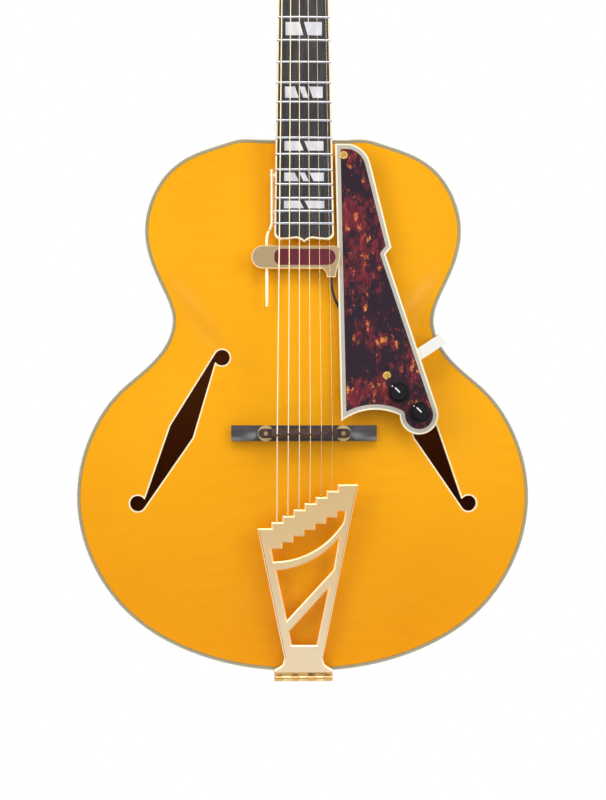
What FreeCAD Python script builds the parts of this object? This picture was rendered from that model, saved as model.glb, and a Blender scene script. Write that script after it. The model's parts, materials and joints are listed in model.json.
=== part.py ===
import FreeCAD, Part
import math
import os
from FreeCAD import Vector as V

# Archtop guitar. Lengths in millimetres, angles in degrees.
# X points to the treble side, Y to the back, Z up the neck; the origin is the fretboard surface at the nut.

# Scale, neck set and strings
SCALE_LENGTH = 635.0
FRET_COUNT = 20
JOINT_FRET = 14
NECK_ANGLE = 4.0
FRETBOARD_RISE = 24.0
STRING_NAMES = ("low_e", "a", "d", "g", "b", "high_e")
STRING_DIAMETERS = (1.32, 1.07, 0.81, 0.61, 0.41, 0.30)
STRING_SETBACKS = (3.0, 2.2, 1.2, 2.4, 1.2, 0.3)
NUT_STRING_SPREAD = 36.5
BRIDGE_STRING_SPREAD = 52.5
NUT_STRING_LIFT = 1.4
BRIDGE_STRING_LIFT = 5.2
STRING_END_GAP = 0.5

# Clearances shared by all the fits
RUNNING_CLEARANCE = 0.05
HOLE_CLEARANCE = 0.15
SIDE_CLEARANCE = 0.3
OVERRUN = 2.0

# Body
BODY_LENGTH = 514.0
LOWER_BOUT = 437.0
RIM_DEPTH = 80.0
RIB_THICKNESS = 2.8
PLATE_EDGE = 5.5
PLATE_THICKNESS = 5.0
TOP_ARCH = 17.0
BACK_ARCH = 16.0
LINING_WIDTH = 6.0
LINING_HEIGHT = 14.0
BINDING_WIDTH = 2.0
PURFLING_WIDTH = 1.6
PURFLING_DEPTH = 1.5
BLOCK_WIDTH = 72.0
NECK_BLOCK_LENGTH = 42.0
TAIL_BLOCK_LENGTH = 24.0
TONE_BAR_WIDTH = 8.0
TONE_BAR_HEIGHT = 13.0
TONE_BAR_LENGTH = 320.0
F_HOLE_EYE = 14.9
F_HOLE_BINDING = 1.4
# half widths as shares of half the lower bout, heights above the tail as shares of the body length
OUTLINE_SHARES = (
    (0.0, 0.0), (0.4455, 0.0283), (0.740, 0.0961), (0.913, 0.1866), (1.0, 0.3223), (0.951, 0.4354),
    (0.8156, 0.5259), (0.6427, 0.5938), (0.5785, 0.656), (0.636, 0.7295), (0.7012, 0.8313),
    (0.647, 0.9105), (0.51, 0.967), (0.3413, 0.9934), (0.0, 1.0))
OUTLINE_SAMPLES = 36
# each arch contour as a share of the outline, with its share of the rise
ARCH_SHARES = (
    (0.965, 0.0), (0.90, 0.055), (0.80, 0.205), (0.66, 0.47), (0.50, 0.715), (0.34, 0.885), (0.18, 0.975),
    (0.07, 1.0))
ARCH_CENTRE_SHARE = 0.47
F_HOLE_SHARES = {
    "upper_eye": (0.3597, 0.5895), "lower_eye": (0.7304, 0.3163), "outer_point": (0.5858, 0.4626),
    "inner_point": (0.4883, 0.4397), "upper_notch": (0.3913, 0.5798), "lower_notch": (0.6979, 0.3253)}
TONE_BAR_SHARES = ((0.13, 0.62), (0.21, 0.30))

# Fretboard, frets and nut
NUT_WIDTH = 43.0
TWELFTH_FRET_WIDTH = 53.0
FRETBOARD_THICKNESS = 6.0
FRETBOARD_RADIUS = 305.0
FRETBOARD_OVERHANG = 15.5
FRETBOARD_CORNER = 6.0
FRETBOARD_TIP = 2.4
FRETBOARD_BINDING = 1.7
FRET_WIDTH = 2.6
FRET_HEIGHT = 1.1
TANG_WIDTH = 0.6
TANG_DEPTH = 1.6
INLAY_DEPTH = 1.3
INLAY_FRETS = (3, 5, 7, 9, 12, 15, 17, 19)
INLAY_TWO_SLASH_FRETS = (3, 7, 12, 17)
INLAY_WIDTH_SHARE = 0.69
INLAY_HEIGHT_SHARE = 0.58
INLAY_SLASH_SHARE = 0.115
INLAY_LEAN_SHARE = 0.10
INLAY_MIDDLE_SHARE = 0.14
NUT_LENGTH = 5.0
NUT_RISE = 2.2

# Neck, heel and headstock
NECK_DEPTH_NUT = 14.5
NECK_DEPTH_HEEL = 17.0
TONGUE_DEPTH = 11.0
TONGUE_END_DEPTH = 7.5
TENON_WIDTH = 24.0
TENON_LENGTH = 22.0
TENON_BACK_MARGIN = 6.0
HEEL_HALF_WIDTH = 22.0
HEEL_REACH = 75.0
# heel sections: share of the depth from neck to back, of the half width and of the reach up the neck
HEEL_SHARES = (
    (0.0, 1.0, 1.0), (0.10, 0.97, 0.80), (0.24, 0.92, 0.47), (0.45, 0.85, 0.31), (0.72, 0.80, 0.245),
    (1.0, 0.76, 0.22))
HEAD_ANGLE = 14.0
HEAD_LENGTH = 182.0
HEAD_WIDTH = 78.0
HEAD_THICKNESS = 14.0
HEAD_VENEER = 2.0
HEAD_DROP = 2.5
TRUSS_ROD_DIAMETER = 5.0
TRUSS_ROD_DEPTH = 4.5
TRUSS_NUT_DIAMETER = 7.0
TRUSS_NUT_LENGTH = 10.0
TRUSS_POCKET_WIDTH = 10.0
TRUSS_POCKET_LENGTH = 26.0
TRUSS_POCKET_DEPTH = 13.0
TRUSS_COVER_LENGTH = 36.0
TRUSS_COVER_WIDTH = 18.0
TRUSS_COVER_THICKNESS = 1.8
TRUSS_COVER_START = 2.0
COVER_SCREW_HEAD = 4.0
COVER_SCREW_RISE = 0.8
COVER_SCREW_SHANK = 1.6

# Tuners
TUNER_SPACING = 43.0
TUNER_FIRST = 42.0
TUNER_EDGE = 14.0
POST_DIAMETER = 6.0
POST_WAIST = 4.8
POST_HEIGHT = 17.0
POST_STRING_HEIGHT = 9.0
POST_HOLE = 2.0
BUSHING_DIAMETER = 10.0
BUSHING_HEIGHT = 3.0
BUSHING_WASHER = 14.0
BUSHING_WASHER_HEIGHT = 1.2
CASE_WIDTH = 17.0
CASE_LENGTH = 25.0
CASE_DEPTH = 12.5
CASE_CORNER = 2.5
GEAR_TEETH = 18
GEAR_MODULE = 0.45
GEAR_WIDTH = 3.0
GEAR_FLOAT = 4.5
WORM_PITCH_DIAMETER = 4.4
WORM_LENGTH = 8.0
WORM_SHAFT = 3.4
BUTTON_GAP = 3.0
BUTTON_LENGTH = 15.0
BUTTON_WIDTH = 22.0
BUTTON_THICKNESS = 8.0
BUTTON_COLLAR = 7.0

# Bridge
BRIDGE_LENGTH = 139.5
BRIDGE_WIDTH = 15.0
BRIDGE_FOOT_HEIGHT = 4.5
BRIDGE_GOUGE = 12.0
BRIDGE_RELIEF = 34.0
BRIDGE_RELIEF_HEIGHT = 3.0
BRIDGE_POST_SPACING = 74.0
BRIDGE_POST_DIAMETER = 4.0
BRIDGE_POST_SINK = 6.0
WHEEL_DIAMETER = 15.4
WHEEL_THICKNESS = 3.0
WHEEL_GAP = 3.0
WHEEL_NOTCHES = 22
WHEEL_NOTCH = 1.0
SADDLE_LENGTH = 88.0
SADDLE_WIDTH = 9.0
SADDLE_HEIGHT = 11.0
SADDLE_LOBE_HEIGHT = 6.5
SADDLE_CREST = 1.6
SADDLE_REST_GAP = 0.12

# Tailpiece, hinge and tail bracket
TAILPIECE_LENGTH = 190.5
TAILPIECE_WIDTH = 96.0
TAILPIECE_THICKNESS = 4.0
TAILPIECE_BEVEL = 1.2
STAIR_RISE = 6.1
STAIR_BAND = 26.2
STRING_HOLE = 2.4
STRING_HOLE_DEPTH = 9.0
STRING_BALL = 2.2
HINGE_WIDTH = 56.0
HINGE_DIAMETER = 6.0
HINGE_PIN = 3.0
HINGE_KNUCKLES = 7
HINGE_OFFSET = 6.0
HINGE_NOTCH = 5.2
HINGE_LIFT = 3.2
BRACKET_THICKNESS = 2.5
BRACKET_DROP = 42.0
# outline and window points: shares of the tailpiece width and length, from the hinge pin
FOOT_SHARES = ((0.292, 0.046), (0.237, 0.060), (0.209, 0.073), (0.193, 0.105))
UPPER_WINDOW_SHARES = {"left": (-0.305, 0.605), "middle": (0.083, 0.657), "right": (0.389, 0.807)}
MIDDLE_WINDOW_SHARES = {"left": (-0.277, 0.558), "middle": (0.052, 0.605), "right": (0.344, 0.726),
                        "low_left": (-0.168, 0.302), "low_right": (0.294, 0.563)}
LOWER_WINDOW_SHARES = {"left": (-0.144, 0.243), "right": (0.243, 0.466), "low_left": (-0.119, 0.173),
                       "low_right": (0.130, 0.173)}

# Pickguard, its bracket and the controls
GUARD_LENGTH = 267.0
GUARD_WIDTH = 100.0
GUARD_THICKNESS = 3.0
GUARD_ANGLE = 3.1
GUARD_EDGE = 5.4
GUARD_SINK = 2.6
GUARD_SIDE_GAP = 3.0
GUARD_DROP = 5.4
GUARD_LOBE = 37.0
# pickguard points: shares of its width and length from the top corner beside the fretboard
GUARD_SHARES = {
    "shoulder": (0.134, 0.0), "shoulder_middle": (0.290, -0.034), "shoulder_end": (0.336, -0.068),
    "notch_point": (0.538, -0.374), "notch_inner": (0.482, -0.400), "lobe": (0.797, -0.978),
    "bottom_middle": (0.422, -0.959), "bottom_corner": (0.052, -1.0)}
GUARD_TOP_SCREW_SHARES = (0.083, -0.041)
GUARD_SIDE_SCREW_SHARES = (0.490, -0.836)
VOLUME_SHARES = (0.600, -0.898)
TONE_SHARES = (0.806, -0.969)
GUARD_SCREW_HEAD = 7.6
GUARD_SCREW_RISE = 1.2
GUARD_SCREW_SHANK = 3.0
GUARD_ARM_WIDTH = 11.0
GUARD_ARM_THICKNESS = 2.5
GUARD_ARM_RIM_SHARE = 0.622
GUARD_ARM_DROP = 46.0
GUARD_SPACER = 9.0
POT_DIAMETER = 16.5
POT_DEPTH = 8.0
POT_SHAFT = 6.0
KNOB_DIAMETER = 19.5
KNOB_SKIRT = 4.0
KNOB_HEIGHT = 13.0
KNOB_FLOAT = 0.6
KNOB_SIDES = 10

# Floating pickup, its rod and lead
PICKUP_GAP = 3.2
PICKUP_HEIGHT = 22.4
PICKUP_LEFT = 50.6
PICKUP_RIGHT = 34.4
PICKUP_LIP = 3.4
PICKUP_LIP_REACH = 3.0
PICKUP_DEPTH = 11.0
PICKUP_WALL = 1.2
PICKUP_CORNER = 7.0
PICKUP_NOSE = 8.2
PICKUP_NOSE_WIDTH = 17.5
INSERT_WIDTH = 58.6
INSERT_HEIGHT = 15.6
INSERT_MARGIN = 4.4
INSERT_THICKNESS = 2.0
ROD_DIAMETER = 3.3
ROD_DEPTH = 7.0
ROD_OFFSET = 35.6
ROD_BELOW_PICKUP = 36.0
ROD_ABOVE_PICKUP = 6.0
ROD_JOG_LENGTH = 18.0
ROD_TOP = 382.0
ROD_EYE = 6.0
ROD_EYE_THICKNESS = 1.2
ROD_EYE_DROP = 0.5
ROD_SCREW_POSITIONS = (388.0, 424.0)
ROD_SCREW_HEAD = 4.4
LEAD_DIAMETER = 2.6
LEAD_DROP = 5.0
LEAD_BEND_SHARE = 0.45
# the lead's route between the pickup nose and the volume control
LEAD_ROUTE = (
    (27.9, -26.4, -501.5), (33.0, -24.4, -514.0), (45.0, -24.0, -530.0), (60.0, -24.4, -545.0),
    (75.0, -25.4, -559.0), (86.5, -26.6, -573.0))

# Output jack through the tail block
JACK_BORE = 6.5
JACK_BARREL = 11.8
JACK_FLANGE = 17.0
JACK_FLANGE_THICKNESS = 2.2
JACK_INSIDE = 10.0
JACK_END = 2.0
JACK_DEPTH_SHARE = 0.78

# Screws of the tail bracket
TAIL_SCREW_HEAD = 6.5
TAIL_SCREW_SHANK = 3.2
TAIL_SCREW_LENGTH = 16.0

ORIGIN = V(0, 0, 0)
X_AXIS = V(1, 0, 0)
Y_AXIS = V(0, 1, 0)
Z_AXIS = V(0, 0, 1)
MIRROR_PLANE = X_AXIS
FULL_TURN = 360.0


def fret_distance(number):
    return SCALE_LENGTH * (1 - 2 ** (-number / 12))


# Places that follow from the sizes above
NECK_SIN = math.sin(math.radians(NECK_ANGLE))
NECK_COS = math.cos(math.radians(NECK_ANGLE))
JOINT_DISTANCE = fret_distance(JOINT_FRET)
FRETBOARD_LENGTH = fret_distance(FRET_COUNT) + FRETBOARD_OVERHANG
HEAD_Z = -JOINT_DISTANCE * NECK_COS
TAIL_Z = HEAD_Z - BODY_LENGTH
RIM_Y = FRETBOARD_RISE - JOINT_DISTANCE * NECK_SIN
BACK_Y = RIM_Y + RIM_DEPTH
TOP_EDGE_Y = RIM_Y - PLATE_EDGE
BACK_EDGE_Y = BACK_Y + PLATE_EDGE


# Small helpers
def export(name, *solids):
    shape = solids[0] if len(solids) == 1 else Part.makeCompound(list(solids))
    shape.exportStep("parts/" + name + ".step")


def show(name, vector):
    print(name, [round(value, 4) for value in (vector.x, vector.y, vector.z)])


def turned(shape, angle, pivot=ORIGIN, axis=X_AXIS):
    copy = shape.copy()
    copy.rotate(pivot, axis, angle)
    return copy


def moved(shape, x, y, z):
    copy = shape.copy()
    copy.translate(V(x, y, z))
    return copy


def mirrored(shape):
    return shape.mirror(ORIGIN, MIRROR_PLANE)


def box(x0, x1, y0, y1, z0, z1):
    return Part.makeBox(x1 - x0, y1 - y0, z1 - z0, V(x0, y0, z0))


def rod(start, end, diameter):
    span = end.sub(start)
    return Part.makeCylinder(diameter / 2, span.Length, start, span)


def line(start, end):
    return Part.makeLine(start, end)


def arc(start, middle, end):
    return Part.Arc(start, middle, end).toShape()


def plate_of(edges, depth):
    return Part.Face(Part.Wire(Part.__sortEdges__(edges))).extrude(V(0, depth, 0))


def polygon_plate(points, depth):
    return Part.Face(Part.makePolygon(list(points) + [points[0]])).extrude(V(0, depth, 0))


def in_neck_frame(shape):
    return turned(shape, -NECK_ANGLE)


def neck_point(x, y, z):
    return V(x, z * NECK_SIN + y * NECK_COS, z * NECK_COS - y * NECK_SIN)


def spread(width, index):
    return width * (index / (len(STRING_NAMES) - 1) - 1 / 2)


def cut_all(shape, tools):
    return shape.cut(Part.makeCompound(list(tools)))


# Body outline and arching
def outline_curve():
    points = [V(x * LOWER_BOUT / 2, 0, TAIL_Z + z * BODY_LENGTH) for x, z in OUTLINE_SHARES]
    curve = Part.BSplineCurve()
    curve.interpolate(Points=points, InitialTangent=X_AXIS, FinalTangent=X_AXIS.negative())
    return curve


def outline_samples():
    curve = outline_curve()
    first, last = curve.FirstParameter, curve.LastParameter
    samples = []
    for index in range(OUTLINE_SAMPLES + 1):
        parameter = first + (last - first) * index / OUTLINE_SAMPLES
        point = curve.value(parameter)
        tangent = curve.tangent(parameter)[0]
        samples.append((point, V(-tangent.z, 0, tangent.x)))
    return samples


SAMPLES = outline_samples()
ARCH_CENTRE = V(0, 0, TAIL_Z + ARCH_CENTRE_SHARE * BODY_LENGTH)


def contour(y, inset=0.0, share=1.0):
    half = []
    for point, normal in SAMPLES:
        place = point.add(normal.normalize() * inset)
        place = ARCH_CENTRE.add((place.sub(ARCH_CENTRE)) * share)
        half.append(V(place.x, y, place.z))
    half[0].x = 0
    half[-1].x = 0
    other = [V(-point.x, y, point.z) for point in reversed(half)]
    edges = []
    for points, direction in ((half, X_AXIS), (other, X_AXIS.negative())):
        curve = Part.BSplineCurve()
        curve.interpolate(Points=points, InitialTangent=direction, FinalTangent=direction.negative())
        edges.append(curve.toShape())
    return Part.Wire(edges)


def slab(y0, y1, inset=0.0):
    return Part.Face(contour(y0, inset)).extrude(V(0, y1 - y0, 0))


def dome(y, rise, inset):
    wires = [contour(y + rise * height, inset, share) for share, height in ARCH_SHARES]
    return Part.makeLoft(wires, True, False)


def outline_point(length_share):
    curve = outline_curve()
    target = TAIL_Z + length_share * BODY_LENGTH
    low, high = curve.FirstParameter, curve.LastParameter
    for _ in range(60):
        middle = (low + high) / 2
        if curve.value(middle).z < target:
            low = middle
        else:
            high = middle
    return curve.value(low)


def arched_plate(edge_y, rim_y, arch, inset):
    sign = 1 if edge_y > rim_y else -1
    outside = slab(rim_y, edge_y, inset).fuse(dome(edge_y, sign * arch, inset))
    hollow = dome(rim_y, sign * (arch + PLATE_EDGE - PLATE_THICKNESS), RIB_THICKNESS + LINING_WIDTH)
    return outside.removeSplitter(), hollow


# f-holes: two round eyes joined by a straight-sided body with pointed notches
def body_point(shares, y):
    return V(shares[0] * LOWER_BOUT / 2, y, TAIL_Z + shares[1] * BODY_LENGTH)


def tangent_point(corner, centre, radius, side):
    span = centre.sub(corner)
    reach = math.sqrt(span.Length ** 2 - radius ** 2)
    angle = side * math.degrees(math.asin(radius / span.Length))
    turn = FreeCAD.Rotation(Y_AXIS, angle)
    direction = turn.multVec(span).normalize()
    return corner.add(direction * reach)


def grown_polygon(points, grow):
    area = sum(a.x * b.z - b.x * a.z for a, b in zip(points, points[1:] + points[:1]))
    side = 1 if area > 0 else -1
    result = []
    for before, corner, after in zip(points[-1:] + points[:-1], points, points[1:] + points[:1]):
        into, out = corner.sub(before).normalize(), after.sub(corner).normalize()
        first = V(into.z, 0, -into.x) * side
        second = V(out.z, 0, -out.x) * side
        middle = first.add(second)
        result.append(corner.add(middle * (grow * 2 / middle.Length ** 2)))
    return result


def f_hole_prism(grow):
    y = TOP_EDGE_Y - TOP_ARCH - OVERRUN
    depth = PLATE_EDGE + TOP_ARCH + OVERRUN * 2
    place = {name: body_point(shares, y) for name, shares in F_HOLE_SHARES.items()}
    radius = F_HOLE_EYE / 2
    upper_side = tangent_point(place["outer_point"], place["upper_eye"], radius, 1)
    lower_side = tangent_point(place["inner_point"], place["lower_eye"], radius, 1)
    corners = [upper_side, place["outer_point"], place["lower_notch"], place["lower_eye"], lower_side,
               place["inner_point"], place["upper_notch"], place["upper_eye"]]
    prism = polygon_plate(grown_polygon(corners, grow), depth)
    for eye in ("upper_eye", "lower_eye"):
        prism = prism.fuse(rod(place[eye], place[eye].add(V(0, depth, 0)), F_HOLE_EYE + grow * 2))
    prism = prism.removeSplitter()
    return prism.fuse(mirrored(prism))


# Neck joint: the tenon that runs from the neck into the neck block
def tenon(clearance):
    side = TENON_WIDTH / 2 + clearance
    front = neck_point(0, FRETBOARD_THICKNESS + TONGUE_END_DEPTH, -JOINT_DISTANCE).y
    return box(-side, side, front, BACK_Y - TENON_BACK_MARGIN + clearance,
               HEAD_Z - TENON_LENGTH - clearance, HEAD_Z + OVERRUN)


def body_plates():
    tenon_slot = tenon(HOLE_CLEARANCE)
    top, top_hollow = arched_plate(TOP_EDGE_Y, RIM_Y, TOP_ARCH, BINDING_WIDTH)
    purfling_y = TOP_EDGE_Y + PURFLING_DEPTH
    channel = slab(TOP_EDGE_Y - OVERRUN, purfling_y, BINDING_WIDTH - OVERRUN)
    island = slab(TOP_EDGE_Y - OVERRUN * 2, purfling_y + OVERRUN, BINDING_WIDTH + PURFLING_WIDTH)
    channel = channel.cut(island)
    blank = top.cut(top_hollow)
    f_rings = blank.common(f_hole_prism(F_HOLE_BINDING)).cut(f_hole_prism(0))
    plate = blank.cut(f_hole_prism(F_HOLE_BINDING)).cut(channel).cut(tenon_slot)
    back, back_hollow = arched_plate(BACK_EDGE_Y, BACK_Y, BACK_ARCH, BINDING_WIDTH)
    export("top_plate", *plate.Solids)
    export("f_hole_bindings", *f_rings.Solids)
    export("back_plate", back.cut(back_hollow))
    return top, top_hollow, tenon_slot


def edge_trim(tenon_slot):
    ring = slab(TOP_EDGE_Y, RIM_Y).cut(slab(TOP_EDGE_Y - OVERRUN, RIM_Y + OVERRUN, BINDING_WIDTH))
    export("top_binding", *ring.cut(tenon_slot).Solids)
    purfling_y = TOP_EDGE_Y + PURFLING_DEPTH
    ring = slab(TOP_EDGE_Y, purfling_y, BINDING_WIDTH)
    ring = ring.cut(slab(TOP_EDGE_Y - OVERRUN, purfling_y + OVERRUN, BINDING_WIDTH + PURFLING_WIDTH))
    export("top_purfling", *ring.cut(tenon_slot).Solids)
    ring = slab(BACK_Y, BACK_EDGE_Y).cut(slab(BACK_Y - OVERRUN, BACK_EDGE_Y + OVERRUN, BINDING_WIDTH))
    export("back_binding", *ring.Solids)


def jack_hole():
    y = RIM_Y + RIM_DEPTH * JACK_DEPTH_SHARE
    reach = RIB_THICKNESS + TAIL_BLOCK_LENGTH + OVERRUN * 2
    start = V(0, y, TAIL_Z - OVERRUN)
    return rod(start, start.add(V(0, 0, reach)), JACK_BARREL)


def tail_screw_places():
    y0 = RIM_Y + BRACKET_DROP * 0.25
    y1 = RIM_Y + BRACKET_DROP * 0.72
    side = HINGE_WIDTH * 0.32
    return (V(-side, y0, TAIL_Z), V(side, y0, TAIL_Z), V(0, y1, TAIL_Z))


def tail_screw_shanks(clearance):
    deep = V(0, 0, TAIL_SCREW_LENGTH + clearance)
    diameter = TAIL_SCREW_SHANK + clearance * 2
    front = V(0, 0, -BRACKET_THICKNESS)
    return [rod(place.add(front), place.add(deep), diameter) for place in tail_screw_places()]


def ribs(tenon_slot, arm_screw_hole):
    wall = slab(RIM_Y, BACK_Y).cut(slab(RIM_Y - OVERRUN, BACK_Y + OVERRUN, RIB_THICKNESS))
    holes = [tenon_slot, jack_hole(), arm_screw_hole] + tail_screw_shanks(0)
    wall = cut_all(wall, holes)
    reach = LOWER_BOUT
    treble = box(0, reach, RIM_Y - OVERRUN, BACK_Y + OVERRUN, TAIL_Z - OVERRUN, HEAD_Z + OVERRUN)
    export("rib_treble", wall.common(treble))
    export("rib_bass", wall.cut(treble))


def blocks_and_linings(tenon_slot):
    core = slab(RIM_Y, BACK_Y, RIB_THICKNESS)
    side = BLOCK_WIDTH / 2
    neck_space = box(-side, side, RIM_Y, BACK_Y, HEAD_Z - NECK_BLOCK_LENGTH, HEAD_Z + OVERRUN)
    tail_space = box(-side, side, RIM_Y, BACK_Y, TAIL_Z - OVERRUN, TAIL_Z + TAIL_BLOCK_LENGTH)
    export("neck_block", core.common(neck_space).cut(tenon_slot))
    export("tail_block", cut_all(core.common(tail_space), [jack_hole()] + tail_screw_shanks(0)))
    inside = slab(RIM_Y - OVERRUN, BACK_Y + OVERRUN, RIB_THICKNESS + LINING_WIDTH)
    ring = core.cut(inside).cut(neck_space).cut(tail_space)
    middle = box(-LOWER_BOUT, LOWER_BOUT, RIM_Y + LINING_HEIGHT, BACK_Y - LINING_HEIGHT,
                 TAIL_Z - OVERRUN, HEAD_Z + OVERRUN)
    export("kerfed_linings", *ring.cut(middle).Solids)


def tone_bars(top_hollow):
    upper, lower = TONE_BAR_SHARES
    start = body_point(upper, 0)
    end = body_point(lower, 0)
    direction = end.sub(start).normalize()
    middle = (start.add(end)) * (1 / 2)
    across = V(direction.z, 0, -direction.x) * (TONE_BAR_WIDTH / 2)
    along = direction * (TONE_BAR_LENGTH / 2)
    corners = [middle.add(along).add(across), middle.add(along).sub(across),
               middle.sub(along).sub(across), middle.sub(along).add(across)]
    y = RIM_Y - TOP_ARCH - PLATE_EDGE
    bar = polygon_plate([V(corner.x, y, corner.z) for corner in corners], TOP_ARCH + PLATE_EDGE)
    floor = moved(top_hollow, 0, TONE_BAR_HEIGHT, 0)
    bars = [blank.common(top_hollow).cut(floor) for blank in (bar, mirrored(bar))]
    export("tone_bars", *(bars[0].Solids + bars[1].Solids))


# Fretboard in the neck frame: playing surface at y = 0, nut at z = 0
def board_width(distance):
    return NUT_WIDTH + (TWELFTH_FRET_WIDTH - NUT_WIDTH) * distance / fret_distance(12)


def board_drop(x):
    return FRETBOARD_RADIUS - math.sqrt(FRETBOARD_RADIUS ** 2 - x ** 2)


def board_prism(inset):
    end = -FRETBOARD_LENGTH + inset
    top = NUT_WIDTH / 2 - inset
    side = board_width(FRETBOARD_LENGTH) / 2 - inset
    corner = FRETBOARD_CORNER
    bow = corner * (1 - math.sqrt(1 / 2))
    valley = side * 0.30
    lift = FRETBOARD_TIP * 0.55
    right = [line(V(top, 0, 0), V(side, 0, end + corner)),
             arc(V(side, 0, end + corner), V(side - bow, 0, end + bow), V(side - corner, 0, end)),
             arc(V(side - corner, 0, end), V(side * 0.55, 0, end + lift * 0.35), V(valley, 0, end + lift)),
             arc(V(valley, 0, end + lift), V(valley * 0.40, 0, end), V(0, 0, end - FRETBOARD_TIP))]
    left = [mirrored(edge) for edge in right]
    return plate_of(right + left + [line(V(-top, 0, 0), V(top, 0, 0))], FRETBOARD_THICKNESS)


def board_barrel():
    base = V(0, FRETBOARD_RADIUS, OVERRUN)
    return Part.makeCylinder(FRETBOARD_RADIUS, FRETBOARD_LENGTH + OVERRUN * 4, base, Z_AXIS.negative())


def revolved_on_board(points_edges, half_width):
    angle = math.degrees(math.asin(half_width / FRETBOARD_RADIUS))
    pivot = V(0, FRETBOARD_RADIUS, 0)
    face = Part.Face(Part.Wire(Part.__sortEdges__(points_edges)))
    face.rotate(pivot, Z_AXIS, -angle)
    return face.revolve(pivot, Z_AXIS, angle * 2)


def fret_pieces(number):
    z = -fret_distance(number)
    half = FRET_WIDTH / 2
    width = board_width(fret_distance(number))
    low, high = V(0, 0, z - half), V(0, 0, z + half)
    crown = revolved_on_board([arc(low, V(0, -FRET_HEIGHT, z), high), line(high, low)], width / 2)
    slot = TANG_WIDTH / 2
    a, b = V(0, 0, z - slot), V(0, 0, z + slot)
    c, d = V(0, TANG_DEPTH, z + slot), V(0, TANG_DEPTH, z - slot)
    tang_edges = [line(a, b), line(b, c), line(c, d), line(d, a)]
    tang = revolved_on_board(tang_edges, width / 2 - FRETBOARD_BINDING * 1.5)
    return crown.fuse(tang), tang


def inlay_pieces(number):
    upper, lower = fret_distance(number - 1), fret_distance(number)
    centre = -(upper + lower) / 2
    half_height = (lower - upper) * INLAY_HEIGHT_SHARE / 2
    width = board_width(-centre) * INLAY_WIDTH_SHARE
    lean = width * INLAY_LEAN_SHARE / 2
    slash = width * INLAY_SLASH_SHARE
    middle = width * INLAY_MIDDLE_SHARE
    if number in INLAY_TWO_SLASH_FRETS:
        cuts = [-middle / 2 - slash, -middle / 2, middle / 2, middle / 2 + slash]
    else:
        cuts = [-slash / 2, slash / 2]
    ends = [-width / 2] + cuts + [width / 2]
    pieces = []
    for left, right in zip(ends[0::2], ends[1::2]):
        tilt_left = lean if left > -width / 2 else 0
        tilt_right = lean if right < width / 2 else 0
        high, low = centre + half_height, centre - half_height
        points = [V(left - tilt_left, 0, high), V(right - tilt_right, 0, high),
                  V(right + tilt_right, 0, low), V(left + tilt_left, 0, low)]
        pieces.append(polygon_plate(points, INLAY_DEPTH + board_drop(width / 2)))
    return pieces


def fretboard():
    barrel = board_barrel()
    core = board_prism(FRETBOARD_BINDING).common(barrel)
    rim = board_prism(0).cut(board_prism(FRETBOARD_BINDING)).common(barrel)
    frets, tangs = zip(*[fret_pieces(number) for number in range(1, FRET_COUNT + 1)])
    inlays = [piece.common(barrel) for number in INLAY_FRETS for piece in inlay_pieces(number)]
    core = cut_all(cut_all(core, tangs), inlays)
    export("fretboard", *[in_neck_frame(solid) for solid in core.Solids])
    export("fretboard_binding", *[in_neck_frame(solid) for solid in rim.Solids])
    export("frets", *[in_neck_frame(fret) for fret in frets])
    export("fret_inlays", *[in_neck_frame(inlay) for inlay in inlays])


# Headstock frame: x across, y = 0 on the veneer face and growing to the back, z up from the nut
def from_head(shape):
    copy = turned(shape, -HEAD_ANGLE)
    copy = moved(copy, 0, FRETBOARD_THICKNESS - HEAD_DROP, NUT_LENGTH)
    return in_neck_frame(copy)


def head_point(x, y, z):
    sin = math.sin(math.radians(HEAD_ANGLE))
    cos = math.cos(math.radians(HEAD_ANGLE))
    return neck_point(x, z * sin + y * cos + FRETBOARD_THICKNESS - HEAD_DROP, z * cos - y * sin + NUT_LENGTH)


def head_outline(y):
    foot = NUT_WIDTH / 2
    flare = HEAD_WIDTH * 0.42
    top = HEAD_WIDTH / 2
    low = HEAD_LENGTH * 0.17
    high = HEAD_LENGTH * 0.94
    right = [arc(V(foot, y, 0), V((foot + flare) * 0.475, y, low * 0.6), V(flare, y, low)),
             line(V(flare, y, low), V(top, y, high))]
    left = [mirrored(edge) for edge in right]
    crown = arc(V(top, y, high), V(0, y, HEAD_LENGTH), V(-top, y, high))
    return right + left + [crown, line(V(-foot, y, 0), V(foot, y, 0))]


def head_half_width(z):
    low, high = HEAD_LENGTH * 0.17, HEAD_LENGTH * 0.94
    flare, top = HEAD_WIDTH * 0.42, HEAD_WIDTH / 2
    return flare + (top - flare) * (z - low) / (high - low)


def tuner_place(index):
    row = (0, 1, 2, 2, 1, 0)[index]
    z = TUNER_FIRST + TUNER_SPACING * row
    side = -1 if index < len(STRING_NAMES) / 2 else 1
    return side, head_half_width(z) - TUNER_EDGE, z


def post_holes():
    holes = []
    for index in range(len(STRING_NAMES)):
        side, x, z = tuner_place(index)
        start, end = V(side * x, -OVERRUN, z), V(side * x, HEAD_VENEER + HEAD_THICKNESS + OVERRUN, z)
        holes.append(rod(start, end, BUSHING_DIAMETER))
    return holes


def truss_pocket():
    side = TRUSS_POCKET_WIDTH / 2
    return box(-side, side, -OVERRUN, TRUSS_POCKET_DEPTH, 0, TRUSS_POCKET_LENGTH)


def truss_axis_y():
    return FRETBOARD_THICKNESS + TRUSS_ROD_DEPTH


def truss_nut_place():
    return NUT_LENGTH * 1.6


def truss_channel():
    side = TRUSS_ROD_DIAMETER / 2 + RUNNING_CLEARANCE
    deep = truss_axis_y() + side
    channel = box(-side, side, FRETBOARD_THICKNESS - OVERRUN, deep, -JOINT_DISTANCE, 0)
    y = truss_axis_y()
    bore = rod(V(0, y, -OVERRUN), V(0, y, truss_nut_place() + OVERRUN * 2), side * 2)
    return channel.fuse(bore)


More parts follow.
